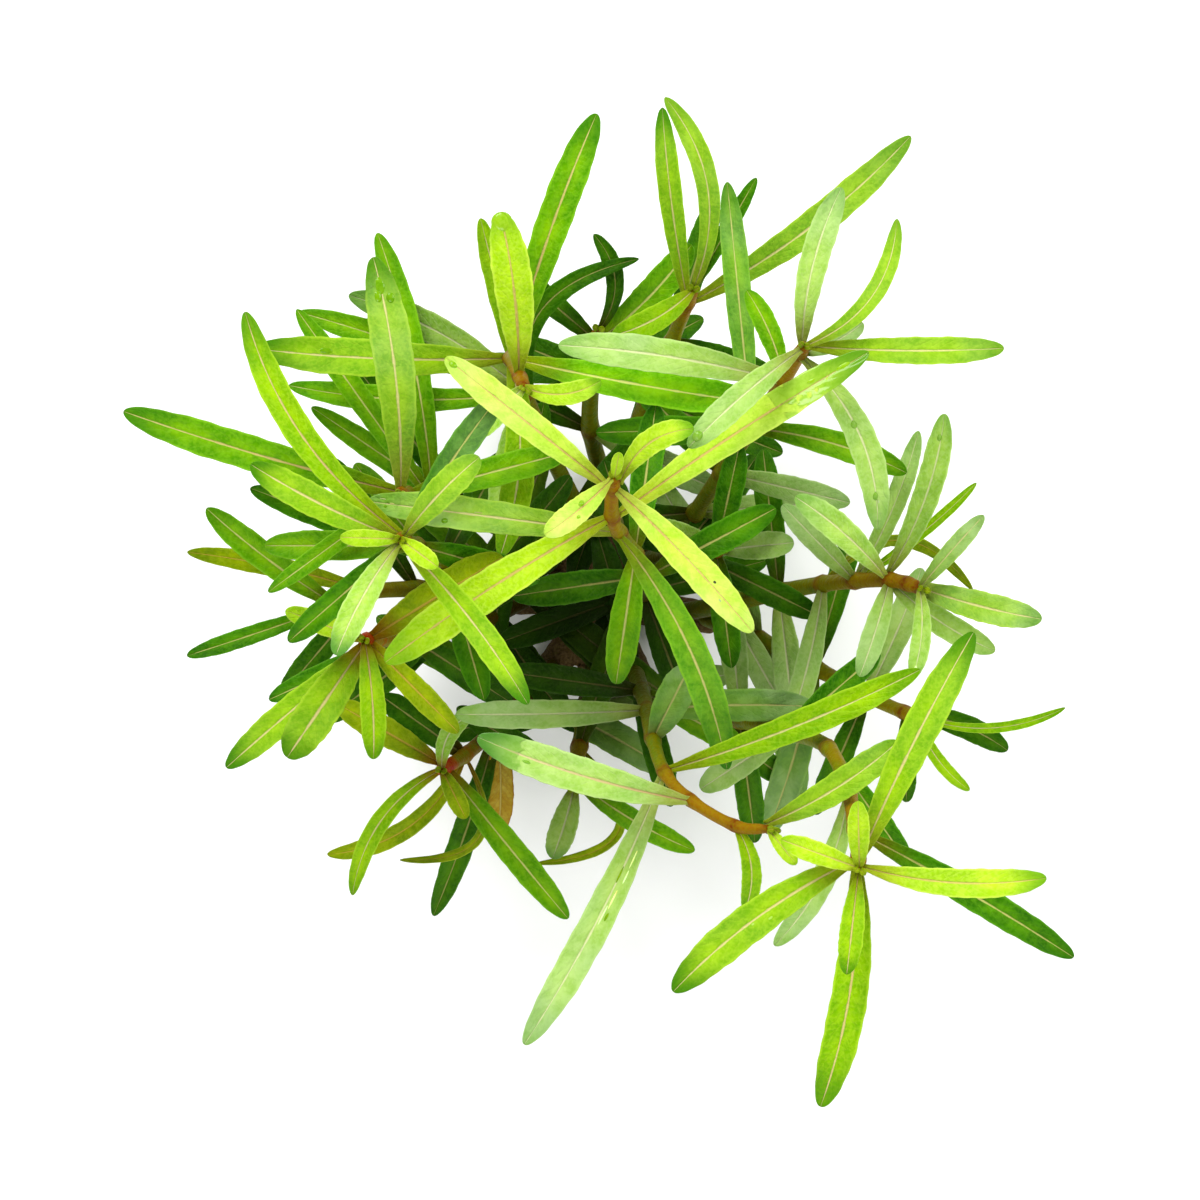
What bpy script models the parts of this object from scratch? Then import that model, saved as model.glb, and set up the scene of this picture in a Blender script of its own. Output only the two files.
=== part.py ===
"""A free-standing clump of narrow-leaved rotala, grown out of water and cut off flat at the ground.

Sixteen leafy stems rise and lean outwards from one short creeping stock. Leaves stand in opposite
pairs at the stem's nodes, linear to spoon-shaped, with a folded midrib. The big leaves are solids of
their own. The young leaves of each tip and the old ones low on the stem are grown onto their stem.
The frame: +Z up, the origin on the ground under the middle of the stock, +Y away from the viewer.
Tables are in millimetres; the meshes are in metres.
"""
import math

import bmesh
import bpy
import numpy as np
from mathutils import Vector

MM = 0.001
GAP = 0.3

STOCK_RADIUS = 2.4
STOCK_TIP_RADIUS = 2.0
STOCK_OVERLAP = 0.25
HUB_RADIUS = 3.4
HUB_HEIGHT = 3.6
STOCK_AXIS_HEIGHT = 1.5
STOCK_ARMS = (
    ((-5.0, 0.6), (-10.0, 0.2), (-14.5, 0.9)),
    ((-3.0, 3.2), (-6.5, 6.0), (-9.5, 8.6)),
    ((0.3, 5.5), (-0.2, 11.0), (0.6, 16.5)),
    ((3.6, 3.0), (7.0, 5.6), (10.4, 8.4)),
    ((5.0, -1.0), (10.0, -1.5), (15.0, -2.7)),
    ((2.0, -4.2), (4.2, -8.6), (6.4, -13.2)),
    ((-0.3, -4.0), (-0.6, -8.0), (-1.0, -11.4)),
    ((-2.6, -3.6), (-5.4, -7.6), (-8.4, -11.4)),
)

STEM_FOOT_RADIUS = 1.15
STEM_TIP_RADIUS = 0.75
STEM_SIDES = 6
BUD_LENGTH = 1.6

LEAF_THICKNESS = 0.5
LEAF_FOOT_SHARE = 0.26
LEAF_WIDEST_AT = 0.62
LEAF_FOLD = 0.16
LEAF_TIP_SHARE = 0.3
BIG_LEAF_STATIONS = (0.0, 0.16, 0.42, 0.70, 0.90, 1.0)
SMALL_LEAF_STATIONS = (0.0, 0.24, 0.6, 0.86, 1.0)

# Colour (linear), roughness and metallic value of each age of leaf and of the stems
COLOURS = {
    "young": (0.52, 0.80, 0.05),
    "lime": (0.36, 0.68, 0.03),
    "green": (0.17, 0.48, 0.02),
    "dark": (0.05, 0.24, 0.02),
    "pale": (0.30, 0.52, 0.16),
    "olive": (0.30, 0.42, 0.02),
    "tan": (0.55, 0.42, 0.10),
    "stem": (0.10, 0.20, 0.02),
    "stock": (0.16, 0.10, 0.04),
}
LEAF_ROUGHNESS = 0.42
STEM_ROUGHNESS = 0.55

# Each shoot: the nodes of its stem from foot to bud, then its leaves, (node, tip, width, arch, bow,
# roll, tone). Arch lifts the middle of the leaf and bow moves it to the left, seen from its foot.
SHOOTS = {
    "centre": {
        "nodes": [(1.3, 0.6, 4.25), (3.5, 0.5, 18), (5.5, 1.0, 33), (6.0, 3.0, 48), (4.4, 5.8, 60),
                  (2.4, 8.5, 67.5), (1.5, 10.4, 72), (1.5, 14.0, 76.8), (1.8, 15.2, 79)],
        "leaves": [
            (7, (-19.3, 30.2, 78), 4.0, 1.5, 0.0, 0, "young"),
            (7, (19.0, -4.0, 75), 4.3, 1.5, 0.4, 0, "young"),
            (8, (11.7, 21.3, 86), 3.5, 1.6, 1.6, -10, "young"),
            (8, (-6.9, 8.1, 82), 3.3, 0.8, 0.3, 0, "young"),
            (6, (-26.8, -7.8, 68), 5.2, 1.5, -0.6, 0, "young"),
            (6, (33.5, 30.9, 77), 4.3, 1.0, 0.5, 0, "young"),
            (5, (15.9, -21.2, 52), 4.5, 1.8, 2.0, 0, "green"),
            (5, (-29.0, 12.3, 69), 4.4, 0.8, 0.0, 0, "lime"),
        ],
        "grown_on": [
            (8, (2.4, 18.4, 83.0), 1.6, 0.3, 0.0, 0, "young"),
            (4, (2.0, -10.5, 54), 4.2, 1.5, 0.0, 0, "green"),
            (4, (7.0, 24.5, 56), 4.0, 1.5, 0.0, 0, "dark"),
            (3, (22.0, 11.5, 50), 4.2, 1.5, 0.0, 0, "dark"),
            (3, (-11.0, 0.5, 44), 4.2, 1.5, 0.0, 0, "dark"),
            (2, (11.5, -15.0, 30), 4.0, 1.2, 0.0, 0, "dark"),
            (2, (0.5, 17.5, 34), 4.0, 1.2, 0.0, 0, "dark"),
            (1, (21.0, 5.0, 20), 3.8, 1.2, 0.0, 0, "dark"),
            (1, (-13.0, -5.5, 22), 3.8, 1.2, 0.0, 0, "dark"),
        ],
    },
    "left": {
        "nodes": [(-5.6, 0.5, 4.3), (-10.0, 1.5, 17), (-15.0, 3.0, 32), (-19.5, 5.0, 47),
                  (-22.8, 6.8, 61), (-24.4, 7.4, 70), (-24.8, 7.5, 74), (-24.9, 7.6, 77)],
        "leaves": [
            (6, (-43.5, 16.9, 81), 4.2, 1.5, 0.5, 0, "lime"),
            (6, (-9.0, -13.0, 72), 3.8, 1.5, 0.8, 0, "lime"),
            (7, (-15.0, 17.8, 83), 4.0, 1.2, 0.4, 0, "lime"),
            (7, (-32.9, -6.9, 80), 3.8, 1.6, -0.6, 0, "pale"),
            (5, (-12.1, 25.9, 75), 3.8, 1.5, 0.6, 0, "dark"),
            (5, (-44.3, 36.0, 68), 3.9, 1.8, 3.0, 0, "lime"),
        ],
        "grown_on": [
            (7, (-32.4, 7.8, 81), 2.3, 0.4, 0.0, 0, "young"),
            (7, (-20.2, 4.1, 81), 2.6, 0.4, 0.0, 0, "young"),
            (5, (-38.9, -5.2, 66), 3.4, 1.5, 0.0, 0, "dark"),
            (3, (-43.8, 14.0, 52), 3.6, 1.2, 0.0, 0, "dark"),
            (4, (-7.5, 2.5, 58), 4.0, 1.5, 0.0, 0, "dark"),
            (3, (-12.0, 18.5, 39), 4.0, 1.2, 0.0, 0, "dark"),
            (3, (-14.5, -12.5, 50), 4.0, 1.2, 0.0, 0, "dark"),
            (4, (-42.0, 6.8, 50), 4.0, 1.2, 0.0, 0, "green"),
        ],
    },
    "far_left_upper": {
        "nodes": [(-6.4, 5.9, 4.25), (-10.5, 8.0, 16), (-16.0, 10.5, 30), (-21.0, 12.5, 44),
                  (-24.0, 13.2, 55), (-24.8, 13.2, 62), (-24.9, 13.3, 64.5)],
        "leaves": [
            (5, (-28.3, 42.8, 71), 5.3, 1.8, -1.0, 0, "lime"),
            (4, (-59.6, 23.6, 58), 4.6, 1.8, 0.5, 0, "green"),
        ],
        "grown_on": [
            (5, (-41.5, 1.0, 54), 2.6, 1.5, 0.0, 0, "green"),
            (4, (-4.0, 18.5, 56), 4.0, 1.5, 0.0, 0, "green"),
            (3, (-38.0, 36.4, 50), 3.2, 1.5, 0.0, 0, "olive"),
            (2, (-36.2, 24.2, 40), 3.2, 1.5, 0.0, 0, "green"),
            (2, (-31.9, 30.9, 34), 3.4, 1.5, 0.0, 0, "dark"),
            (1, (-7.0, 25.0, 21), 3.6, 1.2, 0.0, 0, "dark"),
            (3, (-27.9, 46.0, 46), 3.8, 1.2, -1.2, 0, "green"),
        ],
    },
    "far_left_lower": {
        "nodes": [(-13.0, 0.9, 4.25), (-17.5, 1.2, 13), (-23.0, 1.4, 22), (-29.0, 1.0, 31),
                  (-33.2, -0.6, 38), (-34.6, -1.2, 41)],
        "leaves": [],
        "grown_on": [
            (4, (-49.3, 11.5, 47), 3.7, 1.6, 0.5, 0, "green"),
            (3, (-51.8, 6.0, 38), 2.8, 1.0, -0.6, 0, "olive"),
            (5, (-51.8, -7.0, 42), 2.5, 1.2, 0.1, 0, "dark"),
            (2, (-34.0, 18.0, 27), 3.4, 1.5, 0.0, 0, "dark"),
            (3, (-40.0, -12.0, 30), 3.4, 1.5, 0.0, 0, "dark"),
            (2, (-30.0, -14.0, 20), 3.4, 1.5, 0.0, 0, "dark"),
        ],
    },
    "left_red": {
        "nodes": [(-9.4, 0.2, 4.4), (-13.5, -2.0, 15), (-19.0, -3.6, 28), (-24.0, -4.6, 41),
                  (-27.8, -5.0, 52), (-29.2, -5.0, 58), (-29.4, -5.0, 61)],
        "leaves": [
            (5, (-39.1, -19.7, 61), 5.4, 1.8, 0.0, 0, "lime"),
            (5, (-12.1, 5.4, 62), 5.2, 1.5, 0.0, 0, "olive"),
            (4, (-46.8, -21.0, 49), 4.0, 1.5, -0.2, 0, "lime"),
        ],
        "grown_on": [
            (6, (-39.3, -1.3, 65), 2.8, 0.8, 0.0, 0, "young"),
            (6, (-28.3, -19.9, 63), 3.4, 1.4, 0.4, 0, "lime"),
            (5, (-17.7, -16.6, 57), 3.3, 1.2, 0.0, 0, "olive"),
            (3, (-41.5, -12.5, 42), 3.2, 1.2, 0.0, 0, "dark"),
            (3, (-11.0, -13.0, 36), 3.8, 1.5, 0.0, 0, "dark"),
        ],
    },
    "lower_left_red": {
        "nodes": [(-6.4, -8.8, 4.3), (-9.4, -12.0, 12), (-13.0, -16.0, 21), (-17.0, -19.5, 31),
                  (-19.4, -21.0, 38), (-19.8, -21.3, 41)],
        "leaves": [
            (4, (-33.1, -12.9, 42), 3.8, 1.5, 0.0, 0, "olive"),
        ],
        "grown_on": [
            (4, (-4.0, -40.0, 34), 3.7, 1.8, -0.1, 0, "green"),
            (5, (-15.8, -14.0, 45), 2.5, 0.5, 1.4, 0, "pale"),
            (5, (-16.8, -27.4, 45), 2.5, 0.8, 0.0, 0, "olive"),
            (4, (-31.1, -37.1, 31), 2.6, 1.6, -2.6, 0, "lime"),
            (3, (-34.3, -32.0, 25), 2.6, 1.0, 3.2, 0, "olive"),
            (2, (-12.8, -29.5, 15), 3.4, 1.2, 0.4, 0, "tan"),
            (2, (-21.0, -39.8, 12), 3.5, 1.5, 0.5, 0, "dark"),
            (3, (-25.2, -32.7, 23), 1.4, 0.5, 7.0, 30, "olive"),
            (3, (-27.5, -12.0, 34), 3.8, 1.2, 0.0, 0, "dark"),
        ],
    },
    "upper_left": {
        "nodes": [(0.0, 6.6, 4.6), (-3.0, 12.0, 15), (-6.5, 19.0, 27), (-9.5, 26.0, 40),
                  (-11.2, 30.2, 53), (-10.0, 27.8, 62), (-9.5, 26.6, 65)],
        "leaves": [
            (5, (-12.5, 48.4, 71), 5.1, 1.6, -0.6, 0, "young"),
            (4, (-43.1, 31.4, 60), 4.9, 1.8, 0.6, 0, "lime"),
            (4, (21.3, 24.4, 58), 4.8, 1.8, -0.4, 0, "green"),
            (4, (-0.4, 60.8, 60), 4.5, 1.8, 0.6, 0, "green"),
        ],
        "grown_on": [
            (6, (0.1, 27.4, 68), 3.0, 0.6, -1.3, 0, "young"),
            (6, (-16.0, 20.3, 69), 3.0, 0.6, 0.0, 0, "pale"),
            (4, (-12.5, 5.5, 52), 4.2, 1.5, 1.8, 0, "lime"),
            (3, (-13.0, 9.5, 46), 4.0, 1.2, 0.0, 0, "pale"),
            (3, (-15.0, 47.8, 50), 3.2, 1.0, 0.0, 12, "olive"),
            (2, (4.9, 42.8, 38), 2.8, 1.2, 8.5, 0, "dark"),
            (3, (-31.5, 38.2, 44), 4.0, 1.5, -1.4, 0, "dark"),
            (3, (-39.0, 26.9, 44), 3.4, 1.5, 1.3, 0, "green"),
            (3, (-37.8, 36.1, 40), 3.6, 1.2, -0.6, 0, "green"),
        ],
    },
    "upper_right": {
        "nodes": [(9.6, 7.7, 4.15), (12.0, 11.0, 17), (15.3, 16.0, 31), (19.0, 21.5, 45),
                  (23.0, 27.5, 59), (25.0, 30.8, 72), (25.4, 31.6, 75.5)],
        "leaves": [
            (5, (30.1, 51.4, 79), 3.8, 1.5, 1.1, 0, "pale"),
            (5, (34.7, 8.8, 62), 4.0, 1.6, 2.6, 0, "pale"),
            (6, (50.4, 31.4, 73), 3.6, 0.8, -0.4, 0, "lime"),
            (4, (-5.2, 31.8, 66), 4.6, 1.6, -0.7, 0, "pale"),
            (6, (11.0, 19.0, 82), 3.8, 2.9, -0.4, 0, "pale"),
        ],
        "grown_on": [
            (3, (15.9, 52.3, 56), 3.5, 1.5, 0.0, 0, "green"),
            (6, (37.0, 47.5, 79), 2.6, 1.5, -3.2, 0, "lime"),
            (3, (38.4, 15.9, 51), 3.6, 1.4, 1.0, 0, "green"),
            (4, (18.3, 38.7, 61), 3.0, 1.0, -0.6, 0, "green"),
            (3, (-0.5, 21.0, 46), 4.0, 1.5, 0.0, 0, "dark"),
            (2, (31.4, 12.2, 32), 3.4, 1.5, 0.0, 0, "dark"),
            (2, (4.0, 28.0, 30), 3.6, 1.5, 0.0, 0, "dark"),
            (5, (32.8, 34.6, 70), 2.6, 0.8, -0.6, 0, "pale"),
        ],
    },
    "inner_right": {
        "nodes": [(6.4, 5.1, 4.2), (9.0, 5.4, 16), (12.2, 5.6, 29), (14.6, 6.2, 40), (15.2, 6.3, 44)],
        "leaves": [],
        "grown_on": [
            (4, (24.3, 7.2, 47), 3.6, 1.2, 0.0, 0, "pale"),
            (4, (6.5, 9.5, 48), 3.2, 1.0, 0.0, 0, "pale"),
            (3, (17.5, 19.5, 43), 3.6, 1.2, 0.0, 0, "dark"),
            (3, (16.5, -8.5, 40), 3.6, 1.2, 0.0, 0, "dark"),
            (2, (27.5, -2.0, 32), 3.6, 1.2, 0.0, 0, "dark"),
            (2, (-2.0, 11.0, 28), 3.6, 1.2, 0.0, 0, "dark"),
        ],
    },
    "top": {
        "nodes": [(0.1, 11.0, 4.65), (3.0, 18.0, 12), (6.0, 25.5, 21), (9.0, 32.5, 31),
                  (11.0, 37.3, 39), (11.6, 38.8, 42.5)],
        "leaves": [
            (4, (38.9, 58.1, 50), 4.1, 1.8, -1.5, 0, "lime"),
        ],
        "grown_on": [
            (4, (7.8, 61.7, 48), 3.1, 1.5, 0.4, 0, "lime"),
            (5, (8.1, 62.9, 54), 3.0, 1.8, -3.7, 0, "lime"),
            (5, (1.5, 33.1, 46), 3.5, 1.0, 0.8, 0, "lime"),
            (5, (19.6, 52.9, 47), 2.2, 1.0, 0.0, 0, "dark"),
            (3, (22.0, 28.0, 28), 3.6, 1.5, 0.0, 0, "dark"),
            (3, (14.5, 50.5, 27), 3.6, 1.5, 0.0, 0, "dark"),
        ],
    },
    "top_low": {
        "nodes": [(0.5, 15.2, 4.45), (-1.2, 21.5, 12), (-1.0, 28.0, 21), (-0.4, 32.5, 29),
                  (-0.2, 33.8, 32)],
        "leaves": [],
        "grown_on": [
            (3, (11.5, 44.6, 38), 4.2, 1.2, -0.8, 0, "green"),
            (4, (-0.8, 45.9, 38), 2.4, 1.0, -2.4, 0, "dark"),
            (3, (-11.5, 42.0, 32), 3.2, 1.0, 0.0, 0, "dark"),
            (2, (-16.0, 30.0, 18), 3.6, 1.5, 0.0, 0, "dark"),
            (2, (13.0, 35.5, 18), 3.6, 1.5, 0.0, 0, "dark"),
        ],
    },
    "lower_right_bent": {
        "nodes": [(3.4, -6.8, 4.05), (4.4, -9.0, 18), (5.2, -11.4, 31), (5.9, -13.8, 42),
                  (6.6, -17.4, 51), (8.1, -21.6, 58), (11.3, -25.0, 63), (16.9, -28.2, 67),
                  (21.0, -28.6, 70)],
        "leaves": [
            (8, (37.2, -17.6, 77), 4.0, 1.4, -0.8, 0, "lime"),
            (6, (-15.3, -17.1, 68), 4.8, 1.6, 0.8, 0, "pale"),
            (5, (40.0, -8.7, 63), 4.0, 1.6, -0.8, 0, "lime"),
            (5, (-9.5, -55.7, 48), 4.3, 2.0, 1.0, 0, "pale"),
        ],
        "grown_on": [
            (3, (-18.1, -14.3, 50), 3.8, 1.4, 0.2, 0, "pale"),
            (7, (18.1, -38.8, 62), 2.6, 1.2, 1.4, 0, "lime"),
            (8, (24.5, -33.0, 71), 2.0, 0.4, 0.0, 0, "young"),
            (4, (11.3, -8.2, 54), 4.6, 1.0, 0.0, 0, "olive"),
            (2, (-12.0, -9.0, 36), 3.8, 1.2, 0.0, 0, "dark"),
            (2, (18.0, -18.5, 36), 3.6, 1.2, 0.0, 0, "green"),
            (1, (9.0, -26.0, 22), 3.6, 1.2, 0.0, 0, "dark"),
        ],
    },
    "lower_right": {
        "nodes": [(5.8, -12.0, 4.2), (11.0, -13.5, 18), (17.5, -15.0, 33), (23.5, -16.5, 48),
                  (28.5, -18.5, 61), (31.0, -24.0, 71), (31.8, -28.8, 77), (32.2, -32.2, 80.5),
                  (32.3, -33.4, 83)],
        "leaves": [
            (7, (9.1, -48.8, 82), 5.0, 1.6, -1.3, 0, "lime"),
            (7, (46.5, -4.0, 86), 4.8, 1.6, 0.5, 0, "lime"),
            (8, (55.6, -34.6, 84), 3.8, 1.2, -1.2, 0, "young"),
            (8, (30.7, -46.6, 86), 3.2, 1.0, 0.0, 0, "lime"),
            (7, (27.5, -63.2, 74), 4.8, 1.8, 1.5, 0, "lime"),
            (6, (59.1, -44.6, 70), 3.9, 1.8, 0.4, 0, "dark"),
        ],
        "grown_on": [
            (8, (22.5, -29.8, 86), 3.0, 0.6, 0.0, 0, "young"),
            (8, (32.1, -25.0, 88), 2.9, 0.5, 0.0, 0, "young"),
            (4, (39.0, -33.6, 57), 3.2, 1.2, 0.0, 0, "dark"),
            (5, (21.8, -43.2, 60), 3.3, 1.5, 1.8, 0, "pale"),
            (3, (12.6, -23.7, 43), 3.8, 1.2, 0.0, 0, "pale"),
            (3, (35.0, -6.5, 46), 3.5, 1.2, 0.0, 0, "dark"),
            (2, (19.5, -30.5, 26), 3.6, 1.5, 0.0, 0, "dark"),
            (1, (24.0, -23.0, 18), 3.6, 1.2, 0.0, 0, "dark"),
        ],
    },
    "right": {
        "nodes": [(10.0, -1.6, 4.5), (16.0, -0.5, 12), (22.5, 1.0, 22), (28.0, 2.0, 32),
                  (32.0, 2.4, 41), (36.3, 2.5, 47), (38.6, 2.0, 50), (40.0, 1.5, 52)],
        "leaves": [
            (5, (24.4, 12.9, 55), 3.8, 1.2, -0.6, 0, "pale"),
            (5, (43.1, 23.3, 57), 3.6, 1.4, -1.2, 0, "pale"),
            (6, (55.3, -2.4, 54), 4.0, 1.4, -0.4, 0, "lime"),
        ],
        "grown_on": [
            (7, (48.0, 10.6, 58), 2.5, 1.0, 0.1, 0, "green"),
            (7, (39.1, -9.7, 55), 2.6, 1.2, 0.7, 0, "lime"),
            (5, (49.5, -6.4, 46), 3.5, 1.2, -0.8, 0, "lime"),
            (5, (32.5, -9.6, 50), 3.2, 1.0, 0.2, 0, "pale"),
            (4, (22.8, 11.9, 48), 3.2, 1.2, 0.0, 0, "dark"),
            (4, (39.9, 21.2, 48), 2.8, 1.2, -0.8, 0, "green"),
            (4, (47.2, 14.7, 42), 1.5, 1.2, -0.6, 0, "lime"),
            (3, (23.1, -17.5, 38), 3.4, 1.2, 0.6, 0, "pale"),
            (3, (46.8, 1.2, 38), 2.4, 1.0, 6.0, 50, "olive"),
            (2, (20.5, 19.0, 25), 3.6, 1.4, 0.0, 0, "dark"),
        ],
    },
    "right_low": {
        "nodes": [(13.9, -2.4, 4.45), (20.0, -5.0, 10), (27.0, -8.5, 17), (33.5, -12.0, 24),
                  (38.4, -14.2, 30), (39.8, -14.6, 33)],
        "leaves": [],
        "grown_on": [
            (4, (51.2, -18.9, 31), 3.2, 1.2, 1.0, 0, "dark"),
            (5, (58.4, -13.5, 36), 1.4, 1.0, -2.0, 0, "lime"),
            (5, (46.4, -23.9, 34), 1.8, 1.0, -1.0, 0, "lime"),
            (4, (38.5, -25.4, 28), 2.8, 1.2, 0.0, 0, "dark"),
            (3, (27.0, -27.0, 20), 3.4, 1.5, 0.0, 0, "dark"),
            (2, (32.0, 9.0, 18), 3.4, 1.5, 0.0, 0, "dark"),
        ],
    },
    "bottom_low": {
        "nodes": [(-0.8, -8.8, 4.35), (-1.6, -13.0, 11), (-2.6, -18.5, 19), (-3.2, -22.5, 26),
                  (-3.3, -23.6, 28.5)],
        "leaves": [],
        "grown_on": [
            (3, (11.9, -31.5, 31), 3.1, 1.2, -0.7, 0, "green"),
            (4, (-6.0, -32.5, 27), 3.6, 1.0, 0.2, 0, "green"),
            (2, (-8.2, -33.2, 15), 1.4, 0.8, 8.4, 0, "olive"),
            (3, (-18.0, -13.5, 30), 3.4, 1.2, 0.0, 0, "dark"),
        ],
    },
}


def leaf_outline(u):
    """Half-width as a share of its greatest: a narrow foot, a long swell and a blunt round tip."""
    swell = 1 - (1 - min(u / LEAF_WIDEST_AT, 1)) ** 2.2
    body = LEAF_FOOT_SHARE + (1 - LEAF_FOOT_SHARE) * swell
    past = max(u - LEAF_WIDEST_AT, 0) / (1 - LEAF_WIDEST_AT)
    return max(body * math.sqrt(max(1 - past**2.6, 0)), LEAF_TIP_SHARE * u)


def leaf_rings(foot, tip, width, arch, bow, roll, stations):
    """The four corners of each cross-section of a leaf: left edge, top, right edge, underside."""
    foot, tip = Vector(foot), Vector(tip)
    run = tip - foot
    up = Vector((0, 0, 1))
    left = up.cross(run).normalized()
    control = (foot + tip) / 2 + 2 * (arch * up + bow * left)
    rings = []
    for u in stations:
        centre = foot * (1 - u) ** 2 + control * 2 * u * (1 - u) + tip * u**2
        along = ((control - foot) * (1 - u) + (tip - control) * u).normalized()
        side = up.cross(along).normalized()
        normal = along.cross(side)
        turn = math.radians(roll)
        side, normal = (side * math.cos(turn) + normal * math.sin(turn),
                        normal * math.cos(turn) - side * math.sin(turn))
        half = width / 2 * leaf_outline(u)
        lift = normal * (LEAF_FOLD * half)
        thick = normal * (LEAF_THICKNESS / 2 * (1.2 - 0.6 * u))
        rings.append([centre + side * half + lift, centre + thick,
                      centre - side * half + lift, centre - thick])
    return rings


def loft(rings, name):
    """A closed mesh through cross-sections of four corners each, capped at both ends."""
    bm = bmesh.new()
    loops = [[bm.verts.new(corner * MM) for corner in ring] for ring in rings]
    for near, far in zip(loops, loops[1:]):
        for k in range(4):
            m = (k + 1) % 4
            bm.faces.new((near[k], near[m], far[m], far[k]))
    bm.faces.new(loops[0][::-1])
    bm.faces.new(loops[-1])
    bmesh.ops.recalc_face_normals(bm, faces=bm.faces)
    mesh = bpy.data.meshes.new(name)
    bm.to_mesh(mesh)
    bm.free()
    return mesh


def material(tone):
    """The Principled material of one tone of leaf, of the stems or of the stock."""
    found = bpy.data.materials.get(tone)
    if found:
        return found
    made = bpy.data.materials.new(tone)
    made.use_nodes = True
    shader = made.node_tree.nodes["Principled BSDF"]
    shader.inputs["Base Color"].default_value = (*COLOURS[tone], 1)
    shader.inputs["Roughness"].default_value = STEM_ROUGHNESS if tone in ("stem", "stock") else LEAF_ROUGHNESS
    shader.inputs["Metallic"].default_value = 0
    made.diffuse_color = (*COLOURS[tone], 1)
    return made


def new_object(name, mesh, tone, collection):
    """An object of that mesh in the collection, in one material."""
    made = bpy.data.objects.new(name, mesh)
    mesh.materials.append(material(tone))
    collection.objects.link(made)
    return made


def tube(name, path, radii, sides, tone, collection):
    """A mesh tube along a path with a radius at each point, welded shut at both ends."""
    curve = bpy.data.curves.new(name, "CURVE")
    curve.dimensions = "3D"
    curve.bevel_depth = MM
    curve.bevel_resolution = sides // 2 - 2
    curve.use_fill_caps = True
    spline = curve.splines.new("POLY")
    spline.points.add(len(path) - 1)
    for point, place, radius in zip(spline.points, path, radii):
        point.co = (*(np.array(place) * MM), 1)
        point.radius = radius
    guide = bpy.data.objects.new(name + "_guide", curve)
    bpy.context.scene.collection.objects.link(guide)
    evaluated = guide.evaluated_get(bpy.context.evaluated_depsgraph_get())
    mesh = bpy.data.meshes.new_from_object(evaluated)
    bpy.data.objects.remove(guide)
    bm = bmesh.new()
    bm.from_mesh(mesh)
    bmesh.ops.remove_doubles(bm, verts=bm.verts, dist=1e-6)
    bmesh.ops.recalc_face_normals(bm, faces=bm.faces)
    bm.to_mesh(mesh)
    bm.free()
    return new_object(name, mesh, tone, collection)


def join_to(body, others):
    """Boolean union of the other solids with the body, which keeps its name; the others go."""
    for other in others:
        union = body.modifiers.new(other.name, "BOOLEAN")
        union.operation = "UNION"
        union.solver = "EXACT"
        union.object = other
    evaluated = body.evaluated_get(bpy.context.evaluated_depsgraph_get())
    mesh = bpy.data.meshes.new_from_object(evaluated)
    body.modifiers.clear()
    body.data = mesh
    for other in others:
        bpy.data.objects.remove(other)


def stem_radius(share):
    """Radius of a stem at that share of its nodes, from foot to bud."""
    return STEM_FOOT_RADIUS + (STEM_TIP_RADIUS - STEM_FOOT_RADIUS) * share


def leaf_foot(nodes, index, tip, apart):
    """Where a leaf starts: on the node's own axis, or that far out from it towards the tip."""
    node, end = Vector(nodes[index]), Vector(tip)
    before = Vector(nodes[max(index - 1, 0)])
    after = Vector(nodes[min(index + 1, len(nodes) - 1)])
    along = (after - before).normalized()
    out = end - node
    out -= along * out.dot(along)
    return node + out.normalized() * apart


def add_leaf(name, nodes, row, apart, stations, collection):
    """One leaf as an object, from its node's axis or that far out from it."""
    index, tip, width, arch, bow, roll, tone = row
    foot = leaf_foot(nodes, index, tip, apart)
    mesh = loft(leaf_rings(foot, tip, width, arch, bow, roll, stations), name)
    return new_object(name, mesh, tone, collection)


def add_shoot(name, shoot, collection):
    """A stem with what grows on it as one solid, and a solid for each of its big leaves."""
    nodes = shoot["nodes"]
    path = np.array(nodes, float)
    radii = [stem_radius(share) for share in np.linspace(0, 1, len(path))]
    heading = path[-1] - path[-2]
    bud_end = path[-1] + heading / np.linalg.norm(heading) * BUD_LENGTH
    path = np.vstack([path, bud_end])
    radii.append(STEM_TIP_RADIUS * 0.3)
    stem = tube("stem_" + name, path, radii, STEM_SIDES, "stem", collection)
    grown = [add_leaf(f"{name}_small_{k}", nodes, row, 0.0, SMALL_LEAF_STATIONS, collection)
             for k, row in enumerate(shoot["grown_on"])]
    join_to(stem, grown)
    for k, row in enumerate(shoot["leaves"], start=1):
        share = row[0] / (len(nodes) - 1)
        apart = stem_radius(share) + GAP
        add_leaf(f"leaf_{name}_{k}", nodes, row, apart, BIG_LEAF_STATIONS, collection)


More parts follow.
